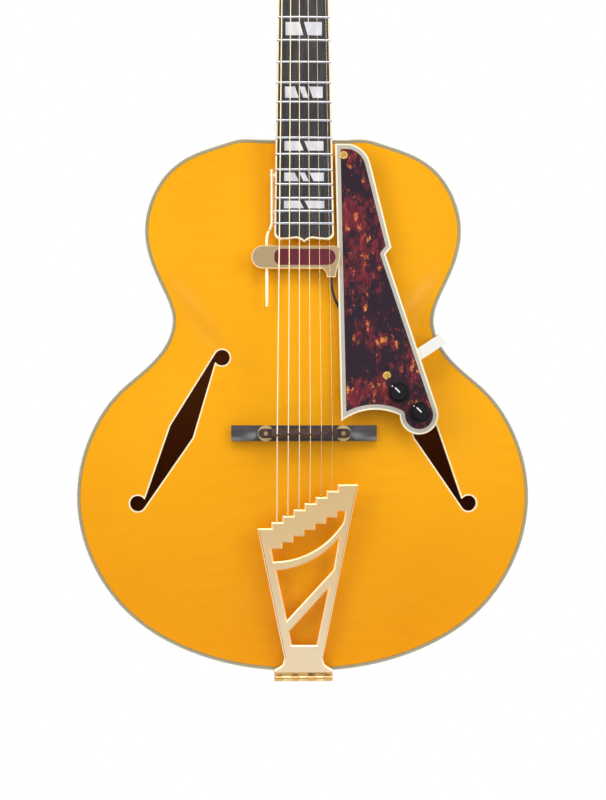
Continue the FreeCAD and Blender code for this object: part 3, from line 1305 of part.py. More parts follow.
def guard_arm():
    under = GUARD_THICKNESS
    start = guard_share(GUARD_SIDE_SCREW_SHARES)
    screw = guard_point(start.x, under, start.z)
    rim = outline_point(GUARD_ARM_RIM_SHARE)
    along = V(rim.x - screw.x, 0, rim.z - screw.z)
    reach = along.Length + GUARD_ARM_THICKNESS
    side = GUARD_ARM_WIDTH / 2
    arm_y = screw.y
    arm = Part.makeBox(reach + side, GUARD_ARM_THICKNESS, GUARD_ARM_WIDTH, V(-side, arm_y, -side))
    leg_start = reach - GUARD_ARM_THICKNESS * 2
    leg = Part.makeBox(GUARD_ARM_THICKNESS * 2, GUARD_ARM_DROP + RIM_Y - arm_y, GUARD_ARM_WIDTH,
                       V(leg_start, arm_y, -side))
    bend = arm.fuse(leg)
    corner = [edge for edge in bend.Edges
              if edge.BoundBox.XMin > reach - RUNNING_CLEARANCE
              and edge.BoundBox.YMax < arm_y + RUNNING_CLEARANCE
              and edge.BoundBox.ZLength > side]
    bend = bend.makeFillet(GUARD_ARM_THICKNESS * 0.9, corner)
    angle = math.degrees(math.atan2(-along.z, along.x))
    bend = turned(bend, angle, ORIGIN, Y_AXIS)
    bend = moved(bend, screw.x, 0, screw.z)
    bend = bend.cut(slab(arm_y + GUARD_ARM_THICKNESS, BACK_EDGE_Y))
    outward = V(along.x, 0, along.z).normalize()
    hole_y = RIM_Y + GUARD_ARM_DROP * 0.72
    face = V(rim.x, hole_y, rim.z).add(outward * GUARD_ARM_THICKNESS)
    depth = GUARD_ARM_THICKNESS + RIB_THICKNESS + LINING_WIDTH
    shank = rod(face, face.sub(outward * depth), TAIL_SCREW_SHANK)
    head = Part.makeCone(TAIL_SCREW_HEAD / 2, TAIL_SCREW_HEAD / 4, TAIL_SCREW_SHANK / 2, face, outward)
    guard_top = from_guard(box(-GUARD_WIDTH, GUARD_WIDTH * 2, -GUARD_LENGTH, under,
                               -GUARD_LENGTH * 2, GUARD_LENGTH))
    return bend.cut(guard_top), shank, head.fuse(shank)


def pickguard(arm):
    outline = guard_outline()
    inner = outline.makeOffset2D(-GUARD_EDGE)
    depth = V(0, GUARD_THICKNESS, 0)
    whole = Part.Face(outline).extrude(depth)
    plate = Part.Face(inner).extrude(depth)
    edge = whole.cut(plate)
    spacer_place = guard_share(GUARD_TOP_SCREW_SHARES)
    screws = [guard_screw(GUARD_TOP_SCREW_SHARES, GUARD_THICKNESS * 3),
              guard_screw(GUARD_SIDE_SCREW_SHARES, GUARD_THICKNESS + GUARD_ARM_THICKNESS)]
    shafts = []
    for shares in (VOLUME_SHARES, TONE_SHARES):
        place = guard_share(shares)
        shafts.append(rod(place.sub(V(0, OVERRUN, 0)), place.add(V(0, GUARD_THICKNESS + OVERRUN, 0)),
                          POT_SHAFT + HOLE_CLEARANCE * 2))
    plate = cut_all(plate, screws + shafts)
    edge = cut_all(edge, screws + shafts)
    placed = [from_guard(screw) for screw in screws]
    post = rod(spacer_place.add(depth), spacer_place.add(V(0, FRETBOARD_RISE * 2, 0)), GUARD_SPACER)
    seat = TOP_EDGE_Y - SIDE_CLEARANCE * 2.5
    below = box(-LOWER_BOUT, LOWER_BOUT, seat, seat + FRETBOARD_RISE * 4, TAIL_Z, HEAD_Z + FRETBOARD_RISE)
    post = from_guard(post).cut(below).cut(placed[0])
    export("pickguard", *[from_guard(solid) for solid in plate.Solids])
    export("pickguard_binding", *[from_guard(solid) for solid in edge.Solids])
    export("pickguard_bracket", *(arm.cut(placed[1]).Solids + post.Solids))
    return placed


def controls():
    pots = []
    for name, shares in (("volume", VOLUME_SHARES), ("tone", TONE_SHARES)):
        place = guard_share(shares)
        y = GUARD_THICKNESS
        can = rod(place.add(V(0, y, 0)), place.add(V(0, y + POT_DEPTH, 0)), POT_DIAMETER)
        shaft_end = place.add(V(0, y + POT_DEPTH / 2, 0))
        top = place.sub(V(0, KNOB_FLOAT + KNOB_HEIGHT * 0.6, 0))
        shaft = rod(top, shaft_end, POT_SHAFT)
        room = rod(top, shaft_end.add(V(0, RUNNING_CLEARANCE, 0)), POT_SHAFT + RUNNING_CLEARANCE * 2)
        pots.append(from_guard(can.cut(room)))
        low = place.sub(V(0, KNOB_FLOAT, 0))
        skirt = rod(low, low.sub(V(0, KNOB_SKIRT, 0)), KNOB_DIAMETER)
        wires = []
        for height, share in ((KNOB_SKIRT, 0.90), (KNOB_HEIGHT, 0.76)):
            ring = []
            for side in range(KNOB_SIDES):
                angle = 2 * math.pi * side / KNOB_SIDES
                reach = KNOB_DIAMETER / 2 * share
                across, along = reach * math.cos(angle), reach * math.sin(angle)
                ring.append(V(low.x + across, low.y - height, low.z + along))
            wires.append(Part.makePolygon(ring + [ring[0]]))
        grip = Part.makeLoft(wires, True, True)
        knob = skirt.fuse(grip).removeSplitter().cut(rod(top, shaft_end, POT_SHAFT))
        export(name + "_knob", from_guard(knob), from_guard(shaft))
    export("control_pots", *pots)


# Floating pickup in the neck frame
def pickup_top():
    return -FRETBOARD_LENGTH - FRETBOARD_TIP - PICKUP_GAP


def pickup_outline(inset, y):
    top = pickup_top() - inset
    bottom = pickup_top() - PICKUP_HEIGHT + inset
    left, right = -PICKUP_LEFT + inset, PICKUP_RIGHT - inset
    middle = (top + bottom) / 2
    radius = (top - bottom) / 2
    corner = PICKUP_CORNER - inset
    bow = corner * (1 - math.sqrt(1 / 2))
    nose = bottom - PICKUP_NOSE
    nose_left = right - PICKUP_NOSE_WIDTH
    tip_left, tip_right = nose_left + PICKUP_NOSE_WIDTH * 0.26, right - PICKUP_NOSE_WIDTH * 0.24
    fillet = V(nose_left * 0.32 + tip_left * 0.68, y, bottom * 0.68 + nose * 0.32)
    waist = V(tip_right * 0.68 + right * 0.32, y, bottom)
    return [
        arc(V(left + radius, y, top), V(left, y, middle), V(left + radius, y, bottom)),
        line(V(left + radius, y, bottom), V(nose_left, y, bottom)),
        arc(V(nose_left, y, bottom), fillet, V(tip_left, y, nose)),
        line(V(tip_left, y, nose), V(tip_right, y, nose)),
        arc(V(tip_right, y, nose), waist, V(right, y, bottom + PICKUP_NOSE)),
        line(V(right, y, bottom + PICKUP_NOSE), V(right, y, top - corner)),
        arc(V(right, y, top - corner), V(right - bow, y, top - bow), V(right - corner, y, top)),
        line(V(right - corner, y, top), V(left + radius, y, top))]


def insert_plate(grow, y, depth):
    top = pickup_top() - PICKUP_HEIGHT / 2 + INSERT_HEIGHT / 2 + grow
    bottom = top - INSERT_HEIGHT - grow * 2
    right = PICKUP_RIGHT - INSERT_MARGIN + grow
    left = right - INSERT_WIDTH - grow * 2
    half = (top - bottom) / 2
    small = half * 0.8
    bow = small * (1 - math.sqrt(1 / 2))
    middle = (top + bottom) / 2
    edges = [
        line(V(left + small, y, top), V(right - half, y, top)),
        arc(V(right - half, y, top), V(right, y, middle), V(right - half, y, bottom)),
        line(V(right - half, y, bottom), V(left + small, y, bottom)),
        arc(V(left + small, y, bottom), V(left + bow, y, bottom + bow), V(left, y, bottom + small)),
        line(V(left, y, bottom + small), V(left, y, top - small)),
        arc(V(left, y, top - small), V(left + bow, y, top - bow), V(left + small, y, top))]
    return plate_of(edges, depth)


def rod_bottom():
    return pickup_top() - PICKUP_HEIGHT - ROD_BELOW_PICKUP


def rod_straight_top():
    return pickup_top() + ROD_ABOVE_PICKUP


def pickup():
    block = plate_of(pickup_outline(0, 0), PICKUP_DEPTH)
    rim = [edge for edge in block.Edges if edge.BoundBox.YMax < RUNNING_CLEARANCE]
    block = block.makeChamfer(PICKUP_WALL * 0.8, rim)
    room_left = -ROD_OFFSET + ROD_DIAMETER + PICKUP_WALL
    room = plate_of(pickup_outline(PICKUP_WALL * 2, PICKUP_WALL), PICKUP_DEPTH)
    side = PICKUP_RIGHT - PICKUP_LIP_REACH
    room = room.common(box(room_left, side - PICKUP_WALL, 0, PICKUP_DEPTH + OVERRUN, -SCALE_LENGTH, 0))
    beside_guard = box(side, PICKUP_RIGHT + OVERRUN, PICKUP_LIP, PICKUP_DEPTH + OVERRUN, -SCALE_LENGTH, 0)
    window = insert_plate(0, -OVERRUN, OVERRUN + PICKUP_WALL * 2)
    hole = rod(V(-ROD_OFFSET, ROD_DEPTH, rod_bottom()), V(-ROD_OFFSET, ROD_DEPTH, 0),
               ROD_DIAMETER + RUNNING_CLEARANCE * 2)
    cover = block.cut(room).cut(window).cut(hole).cut(beside_guard)
    lead_x, lead_y = lead_start()
    exit_hole = rod(V(lead_x, lead_y, pickup_top() - PICKUP_HEIGHT),
                    V(lead_x, lead_y, pickup_top() - PICKUP_HEIGHT - PICKUP_NOSE - OVERRUN),
                    LEAD_DIAMETER + HOLE_CLEARANCE * 2)
    export("pickup_cover", in_neck_frame(cover.cut(exit_hole)))
    export("pickup_insert", in_neck_frame(insert_plate(0, 0, INSERT_THICKNESS)))
    coil = insert_plate(-PICKUP_WALL, INSERT_THICKNESS, PICKUP_DEPTH - INSERT_THICKNESS - PICKUP_WALL)
    export("pickup_core", in_neck_frame(coil))


def lead_start():
    return PICKUP_RIGHT - PICKUP_NOSE_WIDTH * 0.47, PICKUP_DEPTH * 0.55


# Rod: straight through the pickup, stepped in beside the fretboard, two flattened eyes screwed to the tongue
def pickup_rod():
    half = ROD_DIAMETER / 2
    upper_x = -(board_width(FRETBOARD_LENGTH) / 2 + half + SIDE_CLEARANCE)
    low, jog, top = rod_bottom(), rod_straight_top(), -ROD_TOP
    upper = jog + ROD_JOG_LENGTH
    y = ROD_DEPTH
    middle = V((upper_x - ROD_OFFSET) / 2, y, (jog + upper) / 2)
    path = [V(-ROD_OFFSET, y, low), V(-ROD_OFFSET, y, jog), middle, V(upper_x, y, upper), V(upper_x, y, top)]
    curve = Part.BSplineCurve()
    curve.interpolate(Points=path[1:4], InitialTangent=Z_AXIS, FinalTangent=Z_AXIS)
    bend = curve.toShape()
    wire = Part.Wire([line(path[0], path[1]), bend, line(path[3], path[4])])
    circle = Part.Wire(Part.Circle(path[0], Z_AXIS, half).toShape())
    bar = wire.makePipeShell([circle], True, True)
    eyes, screws = [], []
    eye_y = FRETBOARD_THICKNESS + ROD_EYE / 2 + ROD_EYE_DROP
    for position in ROD_SCREW_POSITIONS:
        side = board_width(position + ROD_EYE) / 2 - FRETBOARD_BINDING
        near, far = V(-side, eye_y, -position), V(upper_x - half * 0.4, eye_y, -position)
        eye = rod(near, far, ROD_EYE)
        shank_end = V(-side + ROD_EYE, eye_y, -position)
        head = rod(far.sub(V(ROD_EYE_THICKNESS, 0, 0)), far, ROD_SCREW_HEAD)
        screw = head.fuse(rod(far, shank_end, ROD_SCREW_HEAD / 2))
        eyes.append(eye.cut(screw))
        bar = bar.cut(rod(far.sub(V(ROD_EYE, 0, 0)), shank_end, ROD_SCREW_HEAD + SIDE_CLEARANCE))
        screws.append(screw)
    for eye in eyes:
        bar = bar.fuse(eye)
    bar = max(bar.Solids, key=lambda solid: solid.Volume)
    export("pickup_rod", in_neck_frame(bar))
    return [in_neck_frame(screw) for screw in screws]


# Lead: leaves the pickup nose, dips under the pickguard and runs to the volume control
def tube_along(points, diameter):
    edges, radii = [], []
    start = points[0]
    for before, corner, after in zip(points, points[1:], points[2:]):
        into, out = corner.sub(before), after.sub(corner)
        shorter = min(into.Length, out.Length)
        into.normalize()
        out.normalize()
        half = into.getAngle(out) / 2
        cut = LEAD_BEND_SHARE * shorter
        radius = cut / math.tan(half)
        near, far = corner.sub(into * cut), corner.add(out * cut)
        bisector = out.sub(into).normalize()
        centre = corner.add(bisector * (radius / math.cos(half)))
        edges.extend([line(start, near), arc(near, centre.sub(bisector * radius), far)])
        radii.append(round(radius, 1))
        start = far
    edges.append(line(start, points[-1]))
    wire = Part.Wire(edges)
    direction = edges[0].tangentAt(edges[0].FirstParameter)
    circle = Part.Wire(Part.Circle(points[0], direction, diameter / 2).toShape())
    tube = wire.makePipeShell([circle], True, True)
    share = tube.Volume / (math.pi * diameter * diameter / 4 * wire.Length)
    print("lead length", round(wire.Length, 2), "volume share", round(share, 4), "bend radii", radii)
    return tube


def pickup_lead():
    x, y = lead_start()
    nose = pickup_top() - PICKUP_HEIGHT - PICKUP_NOSE
    volume = guard_share(VOLUME_SHARES)
    pot_edge = volume.z + POT_DIAMETER / 2 + SIDE_CLEARANCE + HOLE_CLEARANCE
    points = [neck_point(x, y, nose + LEAD_DIAMETER), neck_point(x, y, nose - LEAD_DROP)]
    points += [V(*place) for place in LEAD_ROUTE]
    points.append(guard_point(volume.x, GUARD_THICKNESS + POT_DEPTH * 0.55, pot_edge))
    for point in points:
        show("lead_point", point)
    export("pickup_lead", tube_along(points, LEAD_DIAMETER))


def output_jack():
    y = RIM_Y + RIM_DEPTH * JACK_DEPTH_SHARE
    mouth = TAIL_Z - JACK_FLANGE_THICKNESS
    inner = TAIL_Z + RIB_THICKNESS + TAIL_BLOCK_LENGTH + JACK_INSIDE
    barrel = rod(V(0, y, TAIL_Z), V(0, y, inner), JACK_BARREL - RUNNING_CLEARANCE * 2)
    flange = rod(V(0, y, mouth), V(0, y, TAIL_Z), JACK_FLANGE)
    bore = rod(V(0, y, mouth - OVERRUN), V(0, y, inner - JACK_END), JACK_BORE)
    export("output_jack", barrel.fuse(flange).cut(bore))
    return V(0, y, mouth), inner - JACK_END - mouth


def build():
    os.makedirs("parts", exist_ok=True)
    top_outside, top_hollow, tenon_slot = body_plates()
    edge_trim(tenon_slot)
    blocks_and_linings(tenon_slot)
    tone_bars(top_hollow)
    fretboard()
    rod_screws = pickup_rod()
    neck(rod_screws)
    cover_screws = headstock_trim()
    truss_rod()
    nut()
    strings()
    tuners()
    bridge(top_outside)
    tailpiece()
    arm, arm_hole, arm_screw = guard_arm()
    ribs(tenon_slot, arm_hole)
    guard_screws = pickguard(arm.cut(arm_hole))
    controls()
    pickup()
    pickup_lead()
    mouth, bore_length = output_jack()
    export("body_screws", *(tail_screws() + [arm_screw] + guard_screws + rod_screws))
    export("headstock_screws", *[from_head(screw) for screw in cover_screws])
    pin, tail_angle = tail_frame()
    show("jack_mouth", mouth)
    print("jack_bore_length", round(bore_length, 3))
    show("nut_line", neck_point(0, -NUT_STRING_LIFT, 0))
    show("saddle_bottom", V(0, saddle_bottom(), bridge_z()))
    show("saddle_crest", saddle_point(2))
    show("hinge_pin", pin)
    print("tail_angle", round(tail_angle, 4))
    for name, shares in (("volume", VOLUME_SHARES), ("tone", TONE_SHARES)):
        place = guard_share(shares)
        show(name, guard_point(place.x, 0, place.z))
    show("truss_nut", neck_point(0, truss_axis_y(), truss_nut_place()))
    show("pickup", neck_point(0, ROD_DEPTH, pickup_top()))
    worm_y = case_back() + GEAR_FLOAT + GEAR_WIDTH / 2
    for index, name in enumerate(STRING_NAMES):
        side, x, z = tuner_place(index)
        show("post_" + name, head_point(side * x, 0, z))
        show("tuner_" + name, head_point(side * head_half_width(z), worm_y, z + gear_centre()))


build()
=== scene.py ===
import bpy
import bmesh
import json
import math
from mathutils import Matrix, Vector
from mathutils.bvhtree import BVHTree


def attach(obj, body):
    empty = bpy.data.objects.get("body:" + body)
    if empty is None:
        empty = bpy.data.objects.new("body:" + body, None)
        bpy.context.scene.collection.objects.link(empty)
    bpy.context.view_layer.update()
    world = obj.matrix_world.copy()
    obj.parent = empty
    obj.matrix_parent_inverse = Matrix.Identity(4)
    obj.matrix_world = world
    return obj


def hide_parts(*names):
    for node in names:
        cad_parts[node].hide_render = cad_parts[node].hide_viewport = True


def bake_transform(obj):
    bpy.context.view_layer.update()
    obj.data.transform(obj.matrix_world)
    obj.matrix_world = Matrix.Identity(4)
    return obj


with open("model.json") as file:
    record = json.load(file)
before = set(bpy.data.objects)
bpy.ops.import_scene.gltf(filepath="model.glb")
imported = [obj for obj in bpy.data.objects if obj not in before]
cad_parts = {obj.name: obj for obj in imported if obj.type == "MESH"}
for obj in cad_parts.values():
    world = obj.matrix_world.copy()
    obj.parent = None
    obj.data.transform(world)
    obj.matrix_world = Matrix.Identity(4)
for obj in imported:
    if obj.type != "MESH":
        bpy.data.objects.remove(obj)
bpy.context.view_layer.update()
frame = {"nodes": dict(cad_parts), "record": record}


# Back and ribs: a carved, bookmatched back on two bent ribs, glued to the linings and the end blocks.
# Figured maple under amber lacquer, polished; the inside of the body is bare and stays dark, lifted only by
# a faint painted glow for light bounced in through the f-holes.
class Signal:
    """One value in a material's nodes; sums, products and fades of it add further nodes."""

    def __init__(self, finish, socket):
        self.finish = finish
        self.socket = socket

    def maths(self, operation, *values):
        return self.finish.add("ShaderNodeMath", {"operation": operation}, values)

    def __add__(self, other):
        return self.maths("ADD", self, other)

    def __mul__(self, other):
        return self.maths("MULTIPLY", self, other)

    def __abs__(self):
        return self.maths("ABSOLUTE", self)

    def wave(self):
        return self.maths("SINE", self)

    def fade(self, low, high):
        sockets = {"Value": self, "From Min": low, "From Max": high}
        return self.finish.add("ShaderNodeMapRange", {"interpolation_type": "SMOOTHSTEP"}, sockets)


class Finish:
    """A material whose nodes are built up in the coordinates that the whole guitar shares."""

    def __init__(self, name, **shader):
        self.material = bpy.data.materials.new(name)
        self.material.use_nodes = True
        self.tree = self.material.node_tree
        self.shader = self.tree.nodes["Principled BSDF"]
        self.place = self.add("ShaderNodeTexCoord", output="Object")
        split = {"Vector": self.place}
        self.x = self.add("ShaderNodeSeparateXYZ", sockets=split, output="X")
        self.y = self.add("ShaderNodeSeparateXYZ", sockets=split, output="Y")
        self.z = self.add("ShaderNodeSeparateXYZ", sockets=split, output="Z")
        self.set(**shader)

    def add(self, kind, settings=None, sockets=None, output=0):
        node = self.tree.nodes.new(kind)
        for key, value in (settings or {}).items():
            if key == "stops":
                ramp = node.color_ramp
                while len(ramp.elements) < len(value):
                    ramp.elements.new(1.0)
                for element, (position, tint) in zip(ramp.elements, value):
                    element.position = position
                    element.color = tint
            elif key == "ramp":
                node.color_ramp.interpolation = value
            else:
                setattr(node, key, value)
        pairs = sockets.items() if isinstance(sockets, dict) else enumerate(sockets or ())
        for key, value in pairs:
            self.feed(node.inputs[key], value)
        return Signal(self, node.outputs[output])

    def feed(self, socket, value):
        if isinstance(value, Signal):
            self.tree.links.new(value.socket, socket)
        else:
            socket.default_value = value

    def set(self, **sockets):
        for key, value in sockets.items():
            self.feed(self.shader.inputs[key.replace("_", " ")], value)

    def mix(self, factor, first, second):
        settings = {"data_type": "RGBA", "clamp_factor": True}
        return self.add("ShaderNodeMix", settings, {0: factor, 6: first, 7: second}, 2)

    def noise(self, scale, detail=2.0, rough=0.5, twist=0.0):
        stretched = self.add("ShaderNodeVectorMath", {"operation": "MULTIPLY"}, (self.place, scale))
        sockets = {"Vector": stretched, "Scale": 1.0, "Detail": detail}
        sockets.update({"Roughness": rough, "Distortion": twist})
        return self.add("ShaderNodeTexNoise", None, sockets)

    def bump(self, height, distance):
        sockets = {"Height": height, "Distance": distance, "Strength": 1.0}
        self.set(Normal=self.add("ShaderNodeBump", None, sockets))


def tint(red, green, blue):
    """A screen colour (0 to 255) as the linear colour that the nodes work in."""
    shares = [value / 255 for value in (red, green, blue)]
    linear = [v / 12.92 if v <= 0.04045 else ((v + 0.055) / 1.055) ** 2.4 for v in shares]
    return (*linear, 1.0)


def figured_maple(name, light, dark, curl, lean, contrast, **shader):
    finish = Finish(name, **shader)
    side = abs(finish.x)
    drift = finish.noise((9.0, 9.0, 5.0), 2.0)
    wander = finish.noise((60.0, 60.0, 22.0), 2.0)
    phase = finish.z * curl + side * (curl * lean) + drift * 16.0 + wander * 3.5
    band = phase.wave() * 0.5 + 0.5
    strength = finish.noise((14.0, 14.0, 8.0), 2.0).fade(0.30, 0.72)
    pores = finish.noise((900.0, 900.0, 28.0), 3.0)
    cloud = finish.noise((6.0, 6.0, 4.0), 3.0).fade(0.25, 0.75)
    figure = band * strength * contrast + pores * (contrast * 0.35) + cloud * (contrast * 0.5)
    finish.set(Base_Color=finish.mix(figure, light, dark))
    finish.bump(pores * 0.4 + finish.noise((55.0, 55.0, 55.0), 1.0), 0.00004)
    return finish


body_of = {node: body for body, nodes in frame["record"]["behaviour"]["bodies"].items() for node in nodes}


def place_piece(piece, body):
    if not piece.users_collection:
        bpy.context.scene.collection.objects.link(piece)
    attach(piece, body)
    return piece


def dressed(node, *finishes, angle=35.0, flats=False, edge=0.0):
    """Put a finished copy of a CAD node in its place, with its edges rounded by the width edge."""
    weld, flat_angle, corner_angle = 2e-6, 0.6, 40.0
    mesh = frame["nodes"][node].data.copy()
    mesh.name = node + "_look"
    if "custom_normal" in mesh.attributes:
        mesh.attributes.remove(mesh.attributes["custom_normal"])
    form = bmesh.new()
    form.from_mesh(mesh)
    bmesh.ops.remove_doubles(form, verts=form.verts, dist=weld)
    if flats:
        bmesh.ops.dissolve_limit(form, angle_limit=math.radians(flat_angle), verts=form.verts,
                                 edges=form.edges)
    form.to_mesh(mesh)
    form.free()
    mesh.materials.clear()
    for finish in finishes:
        mesh.materials.append(finish.material)
    mesh.shade_smooth()
    mesh.set_sharp_from_angle(angle=math.radians(angle))
    piece = place_piece(bpy.data.objects.new(node + "_look", mesh), body_of[node])
    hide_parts(node)
    if edge:
        rounding = piece.modifiers.new("edges", "BEVEL")
        rounding.width = edge
        rounding.segments = 2
        rounding.limit_method = "ANGLE"
        rounding.angle_limit = math.radians(corner_angle)
        rounding.harden_normals = True
    return piece


def inside_faces(piece, is_inside, slot):
    for face in piece.data.polygons:
        if is_inside(face):
            face.material_index = slot


lacquer = {"Roughness": 0.24, "Specular_IOR_Level": 0.24}
back_maple = figured_maple("back_maple", tint(246, 172, 52), tint(184, 102, 20), curl=520.0, lean=0.35,
                           contrast=0.60, **lacquer)
rib_maple = figured_maple("rib_maple", tint(244, 168, 48), tint(178, 98, 20), curl=560.0, lean=0.95,
                          contrast=0.60, **lacquer)
# The bare inside glows faintly by emission: a painted glow standing for light bounced in through the
# f-holes, dimmer towards the tail.
bare_inside_painted_glow = Finish("bare_inside_painted_glow", Roughness=0.85, Specular_IOR_Level=0.1, Emission_Strength=1.0)
painted_bounce_glow, painted_dim_glow = (0.026, 0.008, 0.002, 1.0), (0.008, 0.002, 0.0005, 1.0)
bare_inside_painted_glow.set(Emission_Color=bare_inside_painted_glow.mix(bare_inside_painted_glow.z.fade(-0.55, -0.69), painted_bounce_glow, painted_dim_glow))
inner_grain = bare_inside_painted_glow.noise((160.0, 160.0, 10.0), 3.0)
bare_inside_painted_glow.set(Base_Color=bare_inside_painted_glow.mix(inner_grain, tint(190, 118, 62), tint(160, 96, 48)))
back = dressed("back_plate", back_maple, bare_inside_painted_glow)
inside_faces(back, lambda face: face.normal.y < -0.2, 1)
axis_low, axis_high = -0.74, -0.46


def faces_in(face):
    middle = Vector((0.0, face.center.y, min(max(face.center.z, axis_low), axis_high)))
    return face.normal.dot(face.center - middle) < 0 and abs(face.normal.y) < 0.5


for node in ("rib_bass", "rib_treble"):
    inside_faces(dressed(node, rib_maple, bare_inside_painted_glow), faces_in, 1)


# Blocks, linings and tone bars: sawn maple and spruce strips glued inside the rim and under the top.
# They hold the ribs, the neck and the tail screws, and show only through the f-holes.
for node in ("neck_block", "tail_block", "kerfed_linings", "tone_bars"):
    inner = frame["nodes"][node]
    inner.data.materials.clear()
    inner.data.materials.append(bare_inside_painted_glow.material)


# Top: a carved spruce plate, arched and hollowed, with a raised purfling channel round its edge.
# Straight, close grain and a faint cross ripple under thick amber lacquer, polished to a gloss.
top_wood = Finish("top_wood", Roughness=0.22, Specular_IOR_Level=0.22)
ripple = top_wood.z * 330.0 + abs(top_wood.x) * 60.0 + top_wood.noise((9.0, 9.0, 7.0), 2.0) * 22.0
ripple = ripple.wave() * 0.5 + 0.5
patch = top_wood.noise((17.0, 17.0, 9.0), 2.0).fade(0.32, 0.70)
annual = abs(top_wood.x) * 3600.0 + top_wood.noise((14.0, 14.0, 3.0), 2.0) * 14.0
annual = annual.wave() * 0.5 + 0.5
wash = top_wood.noise((7.0, 7.0, 5.0), 3.0).fade(0.25, 0.75)
warmth = ripple * patch * 0.09 + annual * 0.05 + wash * 0.20
# Towards the tail the amber turns deeper and more orange: painted shade for the lower arch, which faces
# away from the lamps above.
lit_upper_amber = top_wood.mix(warmth, tint(250, 175, 16), tint(228, 140, 6))
shaded_lower_amber = top_wood.mix(warmth, tint(240, 158, 12), tint(214, 124, 4))
top_wood.set(Base_Color=top_wood.mix(top_wood.z.fade(-0.60, -0.86), lit_upper_amber, shaded_lower_amber))
top_wood.bump(top_wood.noise((40.0, 40.0, 40.0), 1.0), 0.00005)
top = dressed("top_plate", top_wood, bare_inside_painted_glow)
inside_faces(top, lambda face: face.normal.y > 0.2, 1)


# Edge bindings: strips of cream celluloid with black and white plies, glued into a rabbet round the top,
# the back and both f-holes and scraped flush with the plates.
def mark_across(piece, skip=lambda face: False):
    """Give each corner of a strip its share of the way from the outer wall (0) to the inner (1)."""
    wall_tilt, shorter_by = 0.6, 0.001
    form = bmesh.new()
    form.from_mesh(piece.data)
    form.normal_update()
    across = form.verts.layers.float.new("across")
    waiting = {face for face in form.faces if abs(face.normal.y) < wall_tilt and not skip(face)}
    walls = []
    while waiting:
        wall, front = [], [waiting.pop()]
        while front:
            face = front.pop()
            wall.append(face)
            for edge in face.edges:
                for other in edge.link_faces:
                    if other in waiting:
                        waiting.remove(other)
                        front.append(other)
        corners = [vert.co.z for face in wall for vert in face.verts]
        walls.append((max(corners) - min(corners), wall))
    widest = max(reach for reach, wall in walls)
    corners = [vert.co.copy() for vert in form.verts]
    form.verts.index_update()
    sides = ([], [])
    for reach, wall in walls:
        sides[reach < widest - shorter_by].extend([vert.index for vert in face.verts] for face in wall)
    outer, inner = (BVHTree.FromPolygons(corners, side) for side in sides)
    for vert in form.verts:
        from_outer = outer.find_nearest(vert.co)[3]
        from_inner = inner.find_nearest(vert.co)[3]
        vert[across] = from_outer / (from_outer + from_inner)
    form.to_mesh(piece.data)
    form.free()


def ply_finish(name, plies, **shader):
    finish = Finish(name, **shader)
    share = finish.add("ShaderNodeAttribute", {"attribute_name": "across"}, output="Fac")
    bands = finish.add("ShaderNodeValToRGB", {"stops": plies, "ramp": "CONSTANT"}, {"Fac": share})
    aged = finish.noise((70.0, 70.0, 70.0), 2.0).fade(0.3, 0.8) * 0.12
    finish.set(Base_Color=finish.mix(aged, bands, tint(205, 170, 96)))
    return finish


celluloid = {"Roughness": 0.28, "Specular_IOR_Level": 0.3}
aged_cream, taupe, umber = tint(246, 240, 226), tint(184, 178, 152), tint(122, 114, 92)
rim_plies = ply_finish("rim_plies", [(0.0, aged_cream), (0.30, umber), (0.42, taupe), (0.62, umber),
                                     (0.76, taupe)], **celluloid)
purfling_plies = ply_finish("purfling_plies", [(0.0, umber), (0.22, taupe), (0.44, umber), (0.60, taupe),
                                               (0.80, tint(84, 66, 34))], **celluloid)
notch_half = 0.0126


def in_notch(face):
    return abs(face.normal.x) > 0.95 and abs(face.calc_center_median().x) < notch_half


strips = {"top_binding": rim_plies, "top_purfling": purfling_plies, "back_binding": rim_plies}
for node, finish in strips.items():
    mark_across(dressed(node, finish), in_notch)
cream_celluloid = Finish("cream_celluloid", **celluloid)
yellowing = cream_celluloid.noise((45.0, 45.0, 45.0), 3.0).fade(0.3, 0.75)
cream_celluloid.set(Base_Color=cream_celluloid.mix(yellowing, tint(255, 243, 208), tint(250, 230, 184)))
cream_celluloid.bump(cream_celluloid.noise((300.0, 300.0, 300.0), 1.0), 0.00002)
dressed("f_hole_bindings", cream_celluloid)


# Neck and headstock: one maple shaft with its heel and tenon, shaped to a soft D and glued into the block.
# Amber lacquer over plain to lightly figured maple; a black lacquered veneer faces the headstock.
neck_maple = figured_maple("neck_maple", tint(244, 176, 62), tint(196, 118, 30), curl=640.0, lean=0.5,
                           contrast=0.5, **lacquer)
dressed("neck", neck_maple)
black_lacquer = Finish("black_lacquer", Roughness=0.12, Specular_IOR_Level=0.5)
haze = black_lacquer.noise((120.0, 120.0, 20.0), 3.0)
black_lacquer.set(Base_Color=black_lacquer.mix(haze, tint(16, 15, 15), tint(30, 28, 27)))
black_lacquer.bump(black_lacquer.noise((50.0, 50.0, 50.0), 1.0), 0.00003)
dressed("headstock_veneer", black_lacquer, edge=0.0003)


